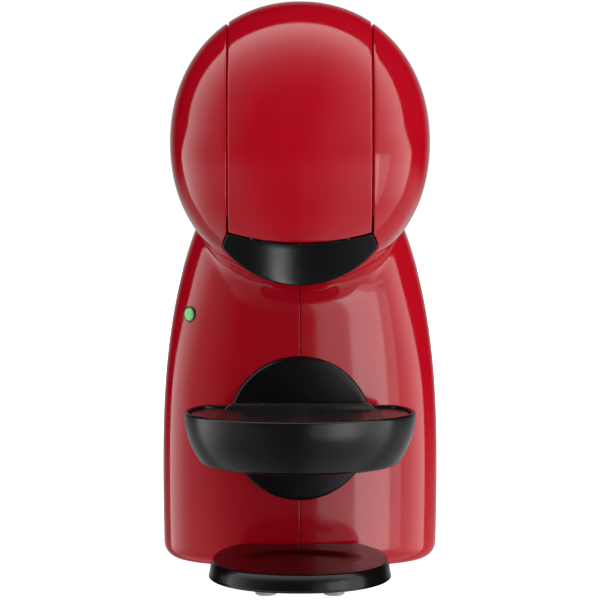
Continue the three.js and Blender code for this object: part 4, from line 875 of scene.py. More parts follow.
# ---------------------------------------------------------------- half shells
@dataclass
class HalfShells:
    """The two glossy half shells: head cheeks and column, with the strip's slot, the mouth and the bay."""

    wall: float = 2.0
    seam: float = 0.22
    seam_edge: float = 0.2
    lip: float = 0.7
    mouth_radius: float = 46.0
    mouth_centre_z: float = 186.7
    mouth_half: float = 36.1
    mouth_shoulder_z: float = 160.5
    mouth_top: tuple[float, float] = (33.8, 164.9)
    room_inset: float = 0.23
    room_depth: tuple[float, float] = (-100.0, -25.6)
    room_rise: float = 8.0
    field_reach: float = 125.0  # from the column's axis to well outside the machine
    head_from_z: float = 130.0  # the head's field counts from here up
    join_wide: float = 15.0
    join_tight: float = 1.6
    join_behind: float = 2.0
    smooth_share: float = 0.5
    smooth_rounds: int = 25
    tongue_room: tuple[Level, Level] = ((-28.3, -60, -5), (28.3, -5.7, 10.1))
    panel_room: tuple[Level, Level] = ((-26.2, 40, 39.8), (26.2, 80, 188.2))
    disc_hole: float = 35.3
    disc_middle: tuple[float, float] = (70, 0)
    socket_hole: float = 11
    socket_middle: tuple[float, float] = (0, 86)
    cord_hole: float = 5.3
    cord_middle: tuple[float, float] = (13.5, 40)
    crest_columns: int = 38
    crest_rows: int = 60
    back_columns: int = 12

    def blend_reach(self, points: Array) -> Array:
        """How softly head and column run together: wide near the middle of the front, tight at the flanks."""
        side = np.abs(points[..., 0])
        reach = blend(self.join_wide, self.join_tight, smooth_step(side, 28.0, 54.0))
        return blend(reach, self.join_behind, smooth_step(points[..., 1], 0.0, 30.0))

    def field(self, points: Array, inset: Array | float) -> Array:
        """Below zero inside the machine: head and column run together, less the tank's bay in the column."""
        y, z = points[..., 1], points[..., 2]
        column = COLUMN.plan(points, inset)
        bay = np.minimum(y - COLUMN.bay_y, z - COLUMN.shelf_z - 0.01)
        column = soft_max(column, bay, 2.5)
        column = np.maximum(column, z - COLUMN.top_z)
        head = HEAD.field(points)
        return np.where(z > self.head_from_z, soft_min(head, column, self.blend_reach(points)), column)

    def front_start(self, z: Array) -> Array:
        """x of the shell's front edge at each height: centre seam, mouth, then the strip's slot."""
        seam = self.seam + self.seam_edge
        arc = np.sqrt(np.maximum(self.mouth_radius**2 - (self.mouth_centre_z - z) ** 2, 0.0))
        x = np.where(z < self.mouth_centre_z - self.mouth_radius, 0.0, arc)
        x = np.minimum(x, self.mouth_half)
        top_x, top_z = self.mouth_top
        slope = (self.mouth_half - top_x) / (top_z - self.mouth_shoulder_z)
        diagonal = self.mouth_half - (z - self.mouth_shoulder_z) * slope
        x = np.where(z > self.mouth_shoulder_z, diagonal, x)
        y = np.full_like(z, -75.0)
        for _ in range(3):
            slot = np.where(z > self.mouth_shoulder_z, np.maximum(x, STRIP.width(y)), x)
            start = np.maximum(slot + self.lip * (slot > 1.0), seam)
            y = self.edge_y(start, z, np.zeros_like(z), -1)
        return start

    def rows(self) -> tuple[Array, Array, Array]:
        """Height, inset of the plan and share of the shelf's way for each row below the head's middle."""
        bottom, radius = COLUMN.bottom_z, COLUMN.edge_radius
        under_z = np.concatenate([[bottom], bottom + radius * (1 - np.cos(roll(8)))])
        under_in = np.concatenate([[radius + COLUMN.under_lip], radius * (1 - np.sin(roll(8)))])
        wall = np.linspace(bottom + radius, COLUMN.shelf_z - COLUMN.shelf_lip, 8)[1:]
        lip = COLUMN.shelf_z - COLUMN.shelf_lip * (1 - np.sin(roll(3)[1:]))
        shelf = np.full(6, COLUMN.shelf_z)
        low = self.mouth_centre_z - self.mouth_radius
        belly = np.concatenate([COLUMN.shelf_z + np.array([0.3, 0.8, 1.6]), np.linspace(30.0, low - 0.4, 44)])
        x = self.mouth_half * np.linspace(0.0, 1.0, 30) ** 0.6
        mouth = self.mouth_centre_z - np.sqrt(self.mouth_radius**2 - x**2)
        cheek = np.linspace(mouth[-1], self.mouth_shoulder_z, 4)[1:]
        slant = np.linspace(self.mouth_shoulder_z, self.mouth_top[1], 6)[1:]
        upper = blend(self.mouth_top[1], HEAD.centre_z, np.linspace(0, 1, 44)[1:] ** 1.05)
        z = np.concatenate([under_z, wall, lip, shelf, belly, mouth, cheek, slant, upper])
        inset = np.zeros_like(z)
        inset[: len(under_in)] = under_in
        start = len(under_z) + len(wall) + len(lip)
        shelf_share = np.clip((np.arange(len(z)) - start + 1) / len(shelf), 0.0, 1.0)
        return z, inset, shelf_share

    def crest(self) -> Array:
        """Upper half of the right cheek, as rays that turn round X from front to back, (rows, columns, 3).

        Columns run from the slot's edge at x = strip + lip to the side, at even distances along the front of
        the head. The start of the rays slides back evenly with their angle along the part of the head that
        has its full section, so that the last column lies on that straight line.
        """
        angle = np.linspace(0, math.pi, self.crest_rows + 1)
        slide = blend(HEAD.dome_y, HEAD.taper_y, angle / math.pi)
        turn = at_places(0.0, -np.cos(angle), np.sin(angle))
        y = np.zeros_like(angle)
        for _ in range(4):
            edge = STRIP.width(y) + self.lip
            start = at_places(edge, slide, HEAD.centre_z)
            y = (start + turn * march(HEAD.field, start, turn, HEAD.reach)[:, None])[:, 1]
        dome = np.linspace(y[0], HEAD.dome_y, 400)
        side = HEAD.half_width * HEAD.share(dome)
        way = np.concatenate([[0.0], np.cumsum(np.hypot(np.diff(dome), np.diff(side)))])
        even = np.interp(np.linspace(0, way[-1], self.crest_columns + 1), way, side)
        room = (HEAD.half_width - edge) / (HEAD.half_width - side[0])
        x = HEAD.half_width - room[:, None] * (HEAD.half_width - even[None])
        start = at_places(x, slide[:, None], HEAD.centre_z)
        rays = np.repeat(turn, self.crest_columns + 1, axis=0)
        hit = start.reshape(-1, 3)
        hit = hit + rays * march(HEAD.field, hit, rays, HEAD.reach)[:, None]
        grid = hit.reshape(self.crest_rows + 1, self.crest_columns + 1, 3)
        grid[:, -1] = start[:, -1]
        grid[0, :, 2] = grid[-1, :, 2] = HEAD.centre_z
        return grid

    def cast(self, start: Array, ray: Array, inset: Array, samples: int = 72) -> Array:
        """Distance of the surface along each ray, with the plan drawn in by an inset of its own."""

        def field_(points: Array) -> Array:
            """The machine's field, for one point or many on each ray."""
            return self.field(points, inset if points.ndim == 2 else inset[:, None])

        return march(field_, start, ray, self.field_reach, samples)

    def edge_y(self, x: Array, z: Array, inset: Array, way: float) -> Array:
        """y of the surface at x and z, in front of the column's middle (way -1) or behind it (way 1)."""
        start = at_places(x, COLUMN.mid_y, z)
        return COLUMN.mid_y + way * self.cast(start, np.tile([0.0, way, 0.0], (len(x), 1)), inset, 160)

    def flank(self, crest: Array) -> Array:
        """Grid of the right half below the head's middle, from its front edge round to its back edge.

        Each row is cast level from the column's axis; angles are shared out along a row as they are in the
        top row, which is the crest's own lower edge and the ledge behind it.
        """
        z, inset, share = self.rows()
        top = np.concatenate([crest[0], crest[1:-1, -1], crest[-1, ::-1]])
        back_x = blend(top[-1, 0], self.seam + self.seam_edge, np.linspace(0, 1, self.back_columns + 1)[1:])
        high = np.full_like(back_x, HEAD.centre_z)
        ledge = at_places(back_x, self.edge_y(back_x, high, np.zeros_like(back_x), 1), high)
        top = np.concatenate([top, ledge])
        theta = np.arctan2(top[:, 0], COLUMN.mid_y - top[:, 1])
        spread = (theta - theta[0]) / (theta[-1] - theta[0])
        first, last = (
            np.arctan2(x, COLUMN.mid_y - self.edge_y(x, z, inset, way))
            for x, way in ((self.front_start(z), -1), (np.full_like(z, self.seam + self.seam_edge), 1))
        )
        angle = blend(first[:, None], last[:, None], spread[None])
        ray = at_places(np.sin(angle), -np.cos(angle), 0.0)
        wide = np.repeat(inset, angle.shape[1])

        def axis(level: Array) -> Array:
            """Points on the column's axis, one for each ray, with each row at a level."""
            return at_places(np.zeros_like(angle), COLUMN.mid_y, level[:, None])

        def reach(level: Array) -> Array:
            """Distance of the surface along every ray, with each row's start at a level."""
            return self.cast(axis(level).reshape(-1, 3), ray.reshape(-1, 3), wide).reshape(angle.shape)

        shelf, lip = COLUMN.shelf_z, COLUMN.shelf_lip
        on_lip = z >= shelf - lip - 0.01
        below = reach(np.minimum(z, np.where(z > shelf, z, shelf - 0.02)))
        above = reach(np.where(on_lip, np.maximum(z, shelf + 0.06), z))
        step = np.where(on_lip[:, None], np.maximum(below - above, 0.0), 0.0)
        turn = np.arcsin(np.clip((z - shelf) / lip + 1.0, 0.0, 1.0))
        trim = np.minimum(step, lip) * (1 - np.cos(turn))[:, None]
        distance = np.where(z[:, None] > shelf + 0.01, above, blend(below - trim, above, share[:, None]))
        grid = axis(z) + ray * distance[..., None]
        grid[-1] = top
        return grid

    def edge(self, at: Array) -> Array:
        """Radius of the rolled edge: fine along the centre seam and the bottom, wider elsewhere."""
        fine = (at[:, 0] < 2.0) | (at[:, 2] < COLUMN.bottom_z + 0.5)
        return np.where(fine, self.seam_edge, self.lip)

    def drawer_room(self) -> Skin:
        """Room that the drawer slides in: the mouth's outline drawn in a little, carried along the depth."""
        x = np.linspace(-1, 1, 41) * (self.mouth_half - self.room_inset)
        low = self.mouth_centre_z - np.sqrt((self.mouth_radius - self.room_inset) ** 2 - x**2)
        side, shoulder, (top_x, top_z) = x[-1], self.mouth_shoulder_z, self.mouth_top
        upper = [(shoulder, side), (top_z, top_x), (top_z + self.room_rise, top_x)]
        upper += [(height, -across) for height, across in upper[::-1]]
        return prism(np.concatenate([np.stack([low, x], -1), upper]), *self.room_depth, 0.02, Axis.Y)

    def softened(self, skin: Skin) -> Skin:
        """The skin with the crease between head and column smoothed beside the mouth."""
        x, y, z = skin.points.T
        soft = smooth_step(x, 8.0, 18.0) * smooth_step(-y, 12.0, 24.0)
        soft *= smooth_step(-z, -182.0, -170.0) * smooth_step(z, 132.0, 146.0)
        return skin.smoothed(self.smooth_share * soft, self.smooth_rounds)

    def build(self, kit: Kit) -> None:
        """Makes both half shells and cuts their holes."""
        crest = self.crest()
        skin = Patchwork().grid(crest).grid(self.flank(crest)).welded().facing_away((0, 20, 120))
        right = self.softened(skin).thickened(self.wall, self.edge)
        shared = [
            block(*self.tongue_room, 0.3, 0.05),
            rod(self.disc_hole, -80, -6, self.disc_middle, Axis.Y, 96),
            rod(self.socket_hole, 10, 40, self.socket_middle, Axis.Z, 48),
            block(*self.panel_room, 1.5, 0.05, Axis.Y),
            self.drawer_room(),
        ]
        cord = rod(self.cord_hole, 90, 130, self.cord_middle, Axis.Y, 40)
        for side, half, hole in (("right", right, cord), ("left", right.mirrored(), PowerButton().hole())):
            kit.add(f"{side}_shell_skin", cut(half, *shared, hole), Finishes.RED, "machine", "shell_red",
                    f"{side}_shell")


# ---------------------------------------------------------------- locking handle and rear cover
@dataclass
class HeadStrip:
    """What covers the middle of the head: the lifting handle, and the fixed cover behind its hinge."""

    thickness: float = 3.0
    gap: float = 0.5
    cover_gap: float = 0.3
    edge: float = 0.8
    handle_end: float = 11.3
    cover_start: float = 11.6
    swing_room: float = 1.1
    cover_thickness: float = 2.4
    hinge_from: float = 95.0  # degrees; the hinge's side of both pieces is looked for from here on
    hinge_span: float = 1.1
    lowest: float = -75.0  # degrees; the handle's lower edge is looked for from here up
    arm_half: float = 4.2
    arm_drop: float = 2.0  # the arms' upper ends lie this far under the head's top
    arm_sides: tuple[float, float] = (9.9, 13.3)
    arm_corners: tuple[float, ...] = (0.4, 0.4, 4.1, 4.1)
    selector_slot: tuple[float, ...] = (-16.5, 16.5, 37.5, 46.5, 3.0)  # two sides, front, back, corners
    cover_foot: float = 0.3  # over the head's middle
    rows: int = 110
    columns: int = 56

    def hit(self, angle: Array, share: Array, trim: float) -> Array:
        """Points of the head where rays round X meet it.

        Args:
            angle: Angle of each ray from straight ahead over the top.
            share: Place of each ray across the strip, from -1 to 1.
            trim: How far the edges stay inside the strip.

        Returns:
            The points, in the same arrangement.
        """
        middle_y = (HEAD.dome_y + HEAD.taper_y) / 2
        ray = at_places(0.0, -np.cos(angle), np.sin(angle)).reshape(-1, 3)
        y = np.full(angle.size, -60.0)
        for _ in range(4):
            x = share.ravel() * (STRIP.width(y) - trim)
            start = at_places(x, middle_y, HEAD.centre_z)
            point = start + ray * march(HEAD.field, start, ray, HEAD.reach, 40)[:, None]
            y = point[:, 1]
        return point.reshape(*angle.shape, 3)

    def hinge_distance(self, points: Array) -> Array:
        """Distance of points from the handle's pin, counted from behind it; nothing in front of it."""
        away = np.hypot(points[..., 1] - HINGE_Y, points[..., 2] - HINGE_Z)
        return np.where(points[..., 1] > HINGE_Y, away, 0.0)

    def span(self, first: Array, last: Array, share: Array, trim: float) -> Skin:
        """Open skin between two angles at each place across the strip."""
        angle = blend(first[None], last[None], np.linspace(0, 1, self.rows + 1)[:, None])
        points = self.hit(angle, np.broadcast_to(share[None], angle.shape), trim)
        return Patchwork().grid(points).welded().facing_away((0, -10, 208))

    def hinge_edge(self, share: Array, trim: float, distance: float) -> Array:
        """Angle at which the strip's surface comes to a distance behind the hinge."""
        start = np.full_like(share, math.radians(self.hinge_from))
        return solve_rising(
            lambda angle: self.hinge_distance(self.hit(angle, share, trim)) - distance, start,
            start + self.hinge_span,
        )

    def handle(self) -> Skin:
        """The handle's panel and the two arms under its back end."""
        trim = self.gap + self.edge
        share = np.linspace(-1, 1, self.columns + 1)

        def over_arc(angle: Array) -> Array:
            """Height of the surface over the arched edge."""
            point = self.hit(angle, share, trim)
            return point[:, 2] - STRIP.arc(point[:, 0], -self.edge)

        first = solve_rising(over_arc, np.full_like(share, math.radians(self.lowest)), np.zeros_like(share))
        last = self.hinge_edge(share, trim, self.handle_end - self.edge)
        panel = self.span(first, last, share, trim).thickened(self.thickness, self.edge)
        front, back, low = HINGE_Y - self.arm_half, HINGE_Y + self.arm_half, HINGE_Z - self.arm_half
        top = HEAD.top(HINGE_Y) - self.arm_drop
        arm = rounded([(front, top), (back, top), (back, low), (front, low)], self.arm_corners, 8)
        near, far = self.arm_sides
        return joined(panel, *(prism(arm, *ends, axis=Axis.X) for ends in ((near, far), (-far, -near))))

    def cover(self) -> bpy.types.Mesh:
        """The rear cover, cut clear of the selector's slot and of the handle's swing."""
        trim = self.cover_gap + self.edge
        share = np.linspace(-1, 1, self.columns + 1)
        first = self.hinge_edge(share, trim, self.cover_start + self.edge)
        last = solve_rising(
            lambda angle: HEAD.centre_z + self.cover_foot + self.edge - self.hit(angle, share, trim)[:, 2],
            np.full_like(share, math.radians(self.hinge_from)), np.full_like(share, math.pi),
        )
        skin = self.span(first, last, share, trim).thickened(self.cover_thickness, self.edge)
        slot = prism(rectangle(*self.selector_slot), 232.0, 300.0, 0.1)
        swing = rod(self.cover_start + self.swing_room, -60, 60, (HINGE_Y, HINGE_Z), Axis.X, 128)
        return cut(skin, slot, swing)

    def build(self, kit: Kit) -> None:
        """Makes the handle and the cover."""
        kit.add("locking_handle_panel", self.handle(), Finishes.RED, "handle", "shell_red", "locking_handle")
        kit.add("rear_cover_skin", self.cover(), Finishes.BLACK, "machine", "gloss_black", "rear_cover")


# ---------------------------------------------------------------- capsule holder
@dataclass
class CapsuleHolder:
    """Drawer with an arched barrel front, a well for the pod, its outlet and the needle's slot."""

    half_width: float = 35.6
    bottom_z: float = 141.2
    arc_radius: float = 45.5
    front_y: float = -79.0
    front_radius: float = 85.0
    back_y: float = -26.0
    shoulder_z: float = 160.0
    edge: float = 0.7
    back_edge: float = 0.3
    upper_gap: float = 0.08
    side_gap: float = 0.3
    cut_under: float = 0.5  # the back of the drawer ends this far under its shoulders
    front_wall: float = 9.0
    corner_sizes: tuple[float, ...] = (0.7, 0.7, 0.8, 1.1, 1.1, 0.8)
    columns: int = 31
    pod: tuple[float, float] = (0.0, -53.0)
    slot: tuple[float, float] = (2.37, 151.03)  # half width and foot of the needle's slot
    well: Table = ((0, 100), (4, 100), (4, 144.2), (15, 144.2), (22.5, 157), (23.5, 158), (23.5, 175), (0, 175))

    def outline(self) -> Array:
        """Outline of the front in z and x, with its corners rounded."""
        x = np.linspace(-1, 1, self.columns)
        low = self.bottom_z + self.arc_radius - np.sqrt(self.arc_radius**2 - (x * self.half_width) ** 2)
        top_half = float(STRIP.width(np.array(self.front_y))) - self.side_gap
        high = STRIP.arc(x[::-1] * top_half, self.upper_gap)
        corners = np.concatenate([
            np.stack([low, x * self.half_width], -1), [(self.shoulder_z, self.half_width)],
            np.stack([high, x[::-1] * top_half], -1), [(self.shoulder_z, -self.half_width)],
        ])
        size = np.zeros(len(corners))
        last = self.columns - 1
        size[[0, last, last + 1, last + 2, -2, -1]] = self.corner_sizes
        return np.roll(rounded(corners, size, 5), 3, axis=0)  # starts in the middle of the left shoulder

    def face(self, x: Array) -> Array:
        """Depth of the front at a place across: a barrel about an upright axis."""
        return self.front_y + self.front_radius - np.sqrt(self.front_radius**2 - x**2)

    def solid(self) -> Skin:
        """Drawer before its hollows: rings from back to front, closed by grids from lower to upper edge."""
        outline = self.outline()
        half = len(outline) // 2
        turn = roll(5)
        rings = []
        for back, edge, step in [(True, self.back_edge, t) for t in turn] + [
            (False, self.edge, t) for t in turn[::-1]
        ]:
            flat = shrunk(outline, edge * (1 - math.sin(step)))
            sunk = edge * (1 - math.cos(step))
            y = self.back_y - sunk if back else self.face(flat[:, 1]) + sunk
            rings.append(at_places(flat[:, 1], y, flat[:, 0]))
        patch = Patchwork().grid(np.stack(rings), wrap=True)
        share = np.linspace(0, 1, 9)[:, None, None]
        for ring, front in ((rings[0], False), (rings[-1], True)):
            lower, upper = ring[: half + 1], np.concatenate([ring[:1], ring[: half - 1 : -1]])
            cap = blend(lower[None], upper[None], share)
            if front:
                cap[1:-1, :, 1] = self.face(cap[1:-1, :, 0])
            patch.grid(cap)
        return patch.welded()

    def build(self, kit: Kit) -> None:
        """Makes the drawer and takes its hollows away."""
        front, top, (half, foot) = self.front_y + self.front_wall, self.shoulder_z - self.cut_under, self.slot
        mesh = cut(
            self.solid(),
            block((-60, front, top), (60, 10, 200), 1.0, 0.1),
            turned(rounded(self.well, (0, 0, 0.4, 1.5, 0.6, 0.6, 0, 0), 4, closed=False), self.pod, sides=72),
            block((-half, self.pod[1] + 3.3, foot), (half, 10, 180), 0.3, 0.1),
        )
        kit.add("capsule_holder_drawer", mesh, Finishes.DRAWER_BLACK, "holder", "gloss_black", "capsule_holder")


# ---------------------------------------------------------------- drip tray, grid and carrier
@dataclass
class DripTray:
    """Round bowl cut off straight at the back, its slotted grid and the disc that carries them."""

    radius: float = 54.3
    centre_y: float = -55.7
    rim_z: float = 82.0
    bottom_z: float = 57.0
    foot_rise: float = 1.2
    draw_in: float = 7.5
    draw_power: float = 2.2
    back: float = 28.7
    wall: float = 2.0
    sides: int = 180
    grid_top_z: float = 80.5
    grid_thickness: float = 2.2
    grid_radius: float = 51.45
    grid_back_y: float = -29.3
    disc_radius: float = 35.0
    disc_z: float = 70.0
    disc_front_y: float = -26.0
    disc_depth: float = 10.0
    disc_bow: float = 2.2
    hook_x: float = 15.0
    hook_z: float = 72.3
    slot_rows: int = 9
    slot_pitch: float = 6.4
    slot_half: float = 1.3
    slot_span: tuple[float, float] = (3.0, 39.0)
    slot_shift: float = -8.0  # from the grid's centre to its middle row
    slot_rim: float = 8.0  # solid edge round the slots
    bar_half: float = 36.4
    bar_rise: float = 2.6
    bar_lean: float = 2.9
    bar_depth: float = 5.5
    disc_edge: float = 1.2

    def ring(self, radius: float, back: float, z: float) -> Array:
        """Circle of a radius, cut off straight at a distance behind its centre, with soft corners."""
        angle = once_round(self.sides, math.pi / self.sides)
        side, ahead = np.sin(angle), np.cos(angle)
        straight = np.where(ahead < -0.02, back / np.maximum(-ahead, 0.02), 1e3)
        reach = soft_min(np.full_like(angle, radius), straight, 5.0 * radius / self.radius)
        return at_places(reach * side, self.centre_y - reach * ahead, z)

    def bowl(self) -> Skin:
        """The bowl: floor, foot, drawn-in wall, rolled rim, and the same again inside."""
        share = np.linspace(0, 1, 15)
        low, wall = self.bottom_z, self.wall
        drawn = self.radius - self.draw_in * (1 - share) ** self.draw_power
        outer = np.stack([drawn, low + self.foot_rise + (self.rim_z - low - self.foot_rise) * share], -1)
        foot = rounded([(40.0, low), (43.9, low), outer[0], outer[1]], (0, 2.0, 0.9, 0), 6, closed=False)
        lip = np.linspace(0, math.pi, 9)
        middle = [self.radius - wall / 2, self.rim_z - wall / 2]
        rim = middle + wall / 2 * np.stack([np.cos(lip), np.sin(lip)], -1)
        profile = np.concatenate([foot[:-1], outer[1:-1], rim])
        inner = profile[::-1][len(lip):] - [wall, 0.0]
        inner[:, 1] = np.maximum(inner[:, 1], low + wall)
        profile = np.concatenate([profile, inner])
        radius, z = profile.T
        depth = np.minimum(self.radius - radius, wall)
        inside = np.arange(len(profile)) >= len(profile) - len(inner)
        back = self.back - np.where(inside, wall, np.minimum(depth, 1.0) * (z > self.rim_z - 1.0))
        back = back - np.where(z < low + 0.6, 0.6, 0.0)
        back = np.where(z > self.rim_z - 1.0 - 1e-6, self.back - (self.radius - radius), back)
        steps = (0.75, 0.5, 0.25, 0.001)
        rings = [self.ring(radius[0] * share, back[0] * share, low) for share in steps[::-1]]
        rings += [self.ring(*row) for row in zip(radius, back, z)]
        rings += [self.ring(radius[-1] * share, back[-1] * share, z[-1]) for share in steps]
        return tube(rings)

    def grid(self) -> bpy.types.Mesh:
        """Slotted plate and the raised bar along its back."""
        low, high = self.grid_top_z - self.grid_thickness, self.grid_top_z
        flat = self.ring(self.grid_radius, self.grid_back_y - self.centre_y, 0.0)[:, :2]
        slots = []
        for row in range(self.slot_rows):
            y = self.centre_y + self.slot_shift + self.slot_pitch * (row - self.slot_rows // 2)
            room = math.sqrt(max(0.0, (self.radius - self.slot_rim) ** 2 - (y - self.centre_y) ** 2))
            near, far = self.slot_span[0], min(self.slot_span[1], room)
            for x0, x1 in ((-far, -near), (near, far)):
                outline = rectangle(x0, x1, y - self.slot_half, y + self.slot_half, 1.25)
                slots.append(prism(outline, low - 5, high + 5, 0.05))
        half, top, lean = self.bar_half, high + self.bar_rise, self.bar_half - self.bar_lean
        bar = rounded([(low + 0.4, -half), (low + 0.4, half), (high, half + 0.1), (top, lean), (top, -lean),
                       (high, -half - 0.1)], (0.2, 0.2, 0.8, 1.2, 1.2, 0.8), 6)
        bar_skin = prism(bar, self.grid_back_y - self.bar_depth, self.grid_back_y - 0.02, 0.6, Axis.Y)
        mesh = cut(prism(flat, low, high, 0.5), joined(*slots))
        work = bmesh.new()
        work.from_mesh(mesh)
        work.from_mesh(mesh_of("bar", bar_skin))
        work.to_mesh(mesh)
        work.free()
        return mesh

    def carrier(self) -> Skin:
        """Disc with a bowed face and a rounded edge, and the two hooks that hold the tray."""
        edge, deep = self.disc_edge, self.disc_depth
        radius = np.concatenate([np.linspace(0, self.disc_radius - edge, 16), self.disc_radius - edge
                                 + edge * np.sin(roll(5))[1:], [self.disc_radius, self.disc_radius - 1, 0]])
        depth = np.concatenate([np.zeros(16), edge * (1 - np.cos(roll(5)))[1:], [deep - 0.4, deep, deep]])
        angle = once_round(120)
        x, z = radius[:, None] * np.sin(angle), self.disc_z + radius[:, None] * np.cos(angle)
        bow = self.disc_bow * (x / self.disc_radius) ** 2 * (depth[:, None] < deep - 1)
        points = at_places(x, self.disc_front_y + depth[:, None] + bow, z)
        front = self.disc_front_y
        return joined(tube(points, capped=False), *self.by_hooks(3.0, 2.0, front - 7, front + 2, HIDDEN_RADIUS))

    def by_hooks(self, half: float, rise: float, front: float, back: float, edge: float) -> list[Skin]:
        """A block at each hook's place, as wide and high as twice half and rise, from front to back."""
        z = self.hook_z
        return [block((x - half, front, z - rise), (x + half, back, z + rise), 0.5, edge, Axis.Y)
                for x in (-self.hook_x, self.hook_x)]

    def build(self, kit: Kit) -> None:
        """Makes tray, grid and carrier."""
        bowl = cut(self.bowl(), *self.by_hooks(3.3, 2.3, -33, -20, 0.05))
        kit.add("drip_tray_bowl", bowl, Finishes.TRAY_BLACK, "tray", "gloss_black", "drip_tray")
        kit.add("drip_grid_plate", self.grid(), Finishes.GRID_BLACK, "grid", "grid_black", "drip_grid",
                sharp=40.0)
        kit.add("tray_carrier_disc", self.carrier(), Finishes.TRAY_BLACK, "machine", "gloss_black",
                "tray_carrier")


# ---------------------------------------------------------------- foot plate and feet
@dataclass
class FootPlate:
    """Low plate in front of the column: flared wall, rounded rim, shallow dish and tongue."""

    half_width: float = 42.8
    front_y: float = -108.6
    mid_y: float = -62.0
    back_y: float = -25.0
    back_reach: float = 50.0
    power: float = 2.2
    low_z: float = 6.0
    shelf_z: float = 6.8
    top_z: float = 13.6
    sides: int = 200
    dish: Level = (30.0, 22.0, 1.6)  # half width, half depth and how deep it is
    dish_wall: tuple[float, float] = (0.62, 1.02)  # shares of the dish's size
    side_flare: float = 2.0
    front_flare: float = 3.6
    wall: Table = ((1.6, 0.0), (0.0, 0.0), (0.2, 0.12), (0.62, 0.72), (1.1, 1.0), (2.2, 1.0))

    def reach(self, angle: Array, side: float, front: float) -> Array:
        """Distance from the middle to the outline, trimmed at its sides and in front."""
        across, ahead = np.abs(np.sin(angle)), np.cos(angle)
        depth = np.where(ahead > 0, self.mid_y - self.front_y - front, self.back_reach)
        p = self.power
        oval = ((across / (self.half_width - side)) ** p + (np.abs(ahead) / depth) ** p) ** (-1 / p)
        straight = np.where(ahead < -0.05, (self.back_y - self.mid_y) / np.maximum(-ahead, 0.05), 1e3)
        return soft_min(oval, straight, 1.6)

    def build(self, kit: Kit) -> None:
        """Makes the plate as rings from under its middle, up its wall and over its top to the dish."""
        angle = once_round(self.sides, math.pi / self.sides)
        wall = rounded(self.wall, (0, 0.18, 0.05, 0.2, 0.17, 0), 7, closed=False)
        # Each step is a share of the way out, a flare and a rise.
        steps = [(share, *self.wall[0]) for share in (0.001, 0.3, 0.6, 0.85)]
        steps += [(1.0, *row) for row in wall]
        steps += [(share, *self.wall[-1]) for share in np.linspace(1, 0.001, 26)[1:]]
        rings = []
        for share, flare, rise in steps:
            r = self.reach(angle, self.side_flare * flare, self.front_flare * flare) * share
            x, y = r * np.sin(angle), self.mid_y - r * np.cos(angle)
            z = np.full_like(x, blend(self.low_z, self.top_z, rise))
            if rise == 1.0:
                away = np.hypot(x / self.dish[0], (y - self.mid_y) / self.dish[1])
                z -= self.dish[2] * (1 - smooth_step(away, *self.dish_wall))
            rings.append(at_places(x, y, z))
        tongue = block((-28, -28, self.shelf_z + 0.01), (28, -6, 9.8), 1.5, 0.3)
        kit.add("foot_plate_top", joined(tube(rings), tongue), Finishes.PLATE_BLACK, "machine", "gloss_black",
                "foot_plate")


@dataclass
class Underside:
    """Rubber feet with a moulded ring, and the cord's inlet."""

    feet: tuple = (  # name, place across and along, radius, height, finish
        ("front_foot", 15.5, -80.0, 5.0, 6.0, Finishes.PALE_RUBBER),
        ("mid_foot", 44.0, 5.0, 7.0, 2.5, Finishes.RUBBER),
        ("rear_foot", 36.0, 86.0, 7.0, 2.5, Finishes.RUBBER),
    )
    sleeve: Table = ((2.6, 97.0), (5.0, 97.0), (5.0, 106.6), (4.2, 108.0), (3.2, 108.0), (2.6, 107.2))
    sleeve_middle: tuple[float, float] = (13.5, 40.0)

    def foot(self, x: float, y: float, radius: float, top: float) -> Skin:
        """A rounded pad with a shallow groove round its side and a hollow underneath."""
        groove = radius - 0.35
        profile = rounded([
            (0, 0.5), (radius * 0.45, 0.5), (radius * 0.5, 0.0), (radius - 0.7, 0.0), (radius, 0.6),
            (radius, top * 0.45), (groove, top * 0.5), (groove, top * 0.6), (radius, top * 0.66),
            (radius, top - 0.3), (radius - 0.6, top), (0, top)], (0, *[0.12] * 10, 0), 3, closed=False)
        return turned(profile, (x, y), Axis.Z, 48)

    def build(self, kit: Kit) -> None:
        """Makes feet and inlet."""
        for word, side in (("left", -1), ("right", 1)):
            for name, x, y, radius, top, finish in self.feet:
                node, pad = f"{word}_{name}", self.foot(side * x, y, radius, top)
                kit.add(f"{node}_pad", pad, finish, "machine", "rubber_dark", node)
        profile = rounded(self.sleeve, 0.3, 4)
        sleeve = turned(np.vstack([profile, profile[:1]]), self.sleeve_middle, Axis.Y, 48)
        kit.add("cord_inlet_sleeve", sleeve, Finishes.RUBBER, "machine", "rubber_dark", "cord_inlet")


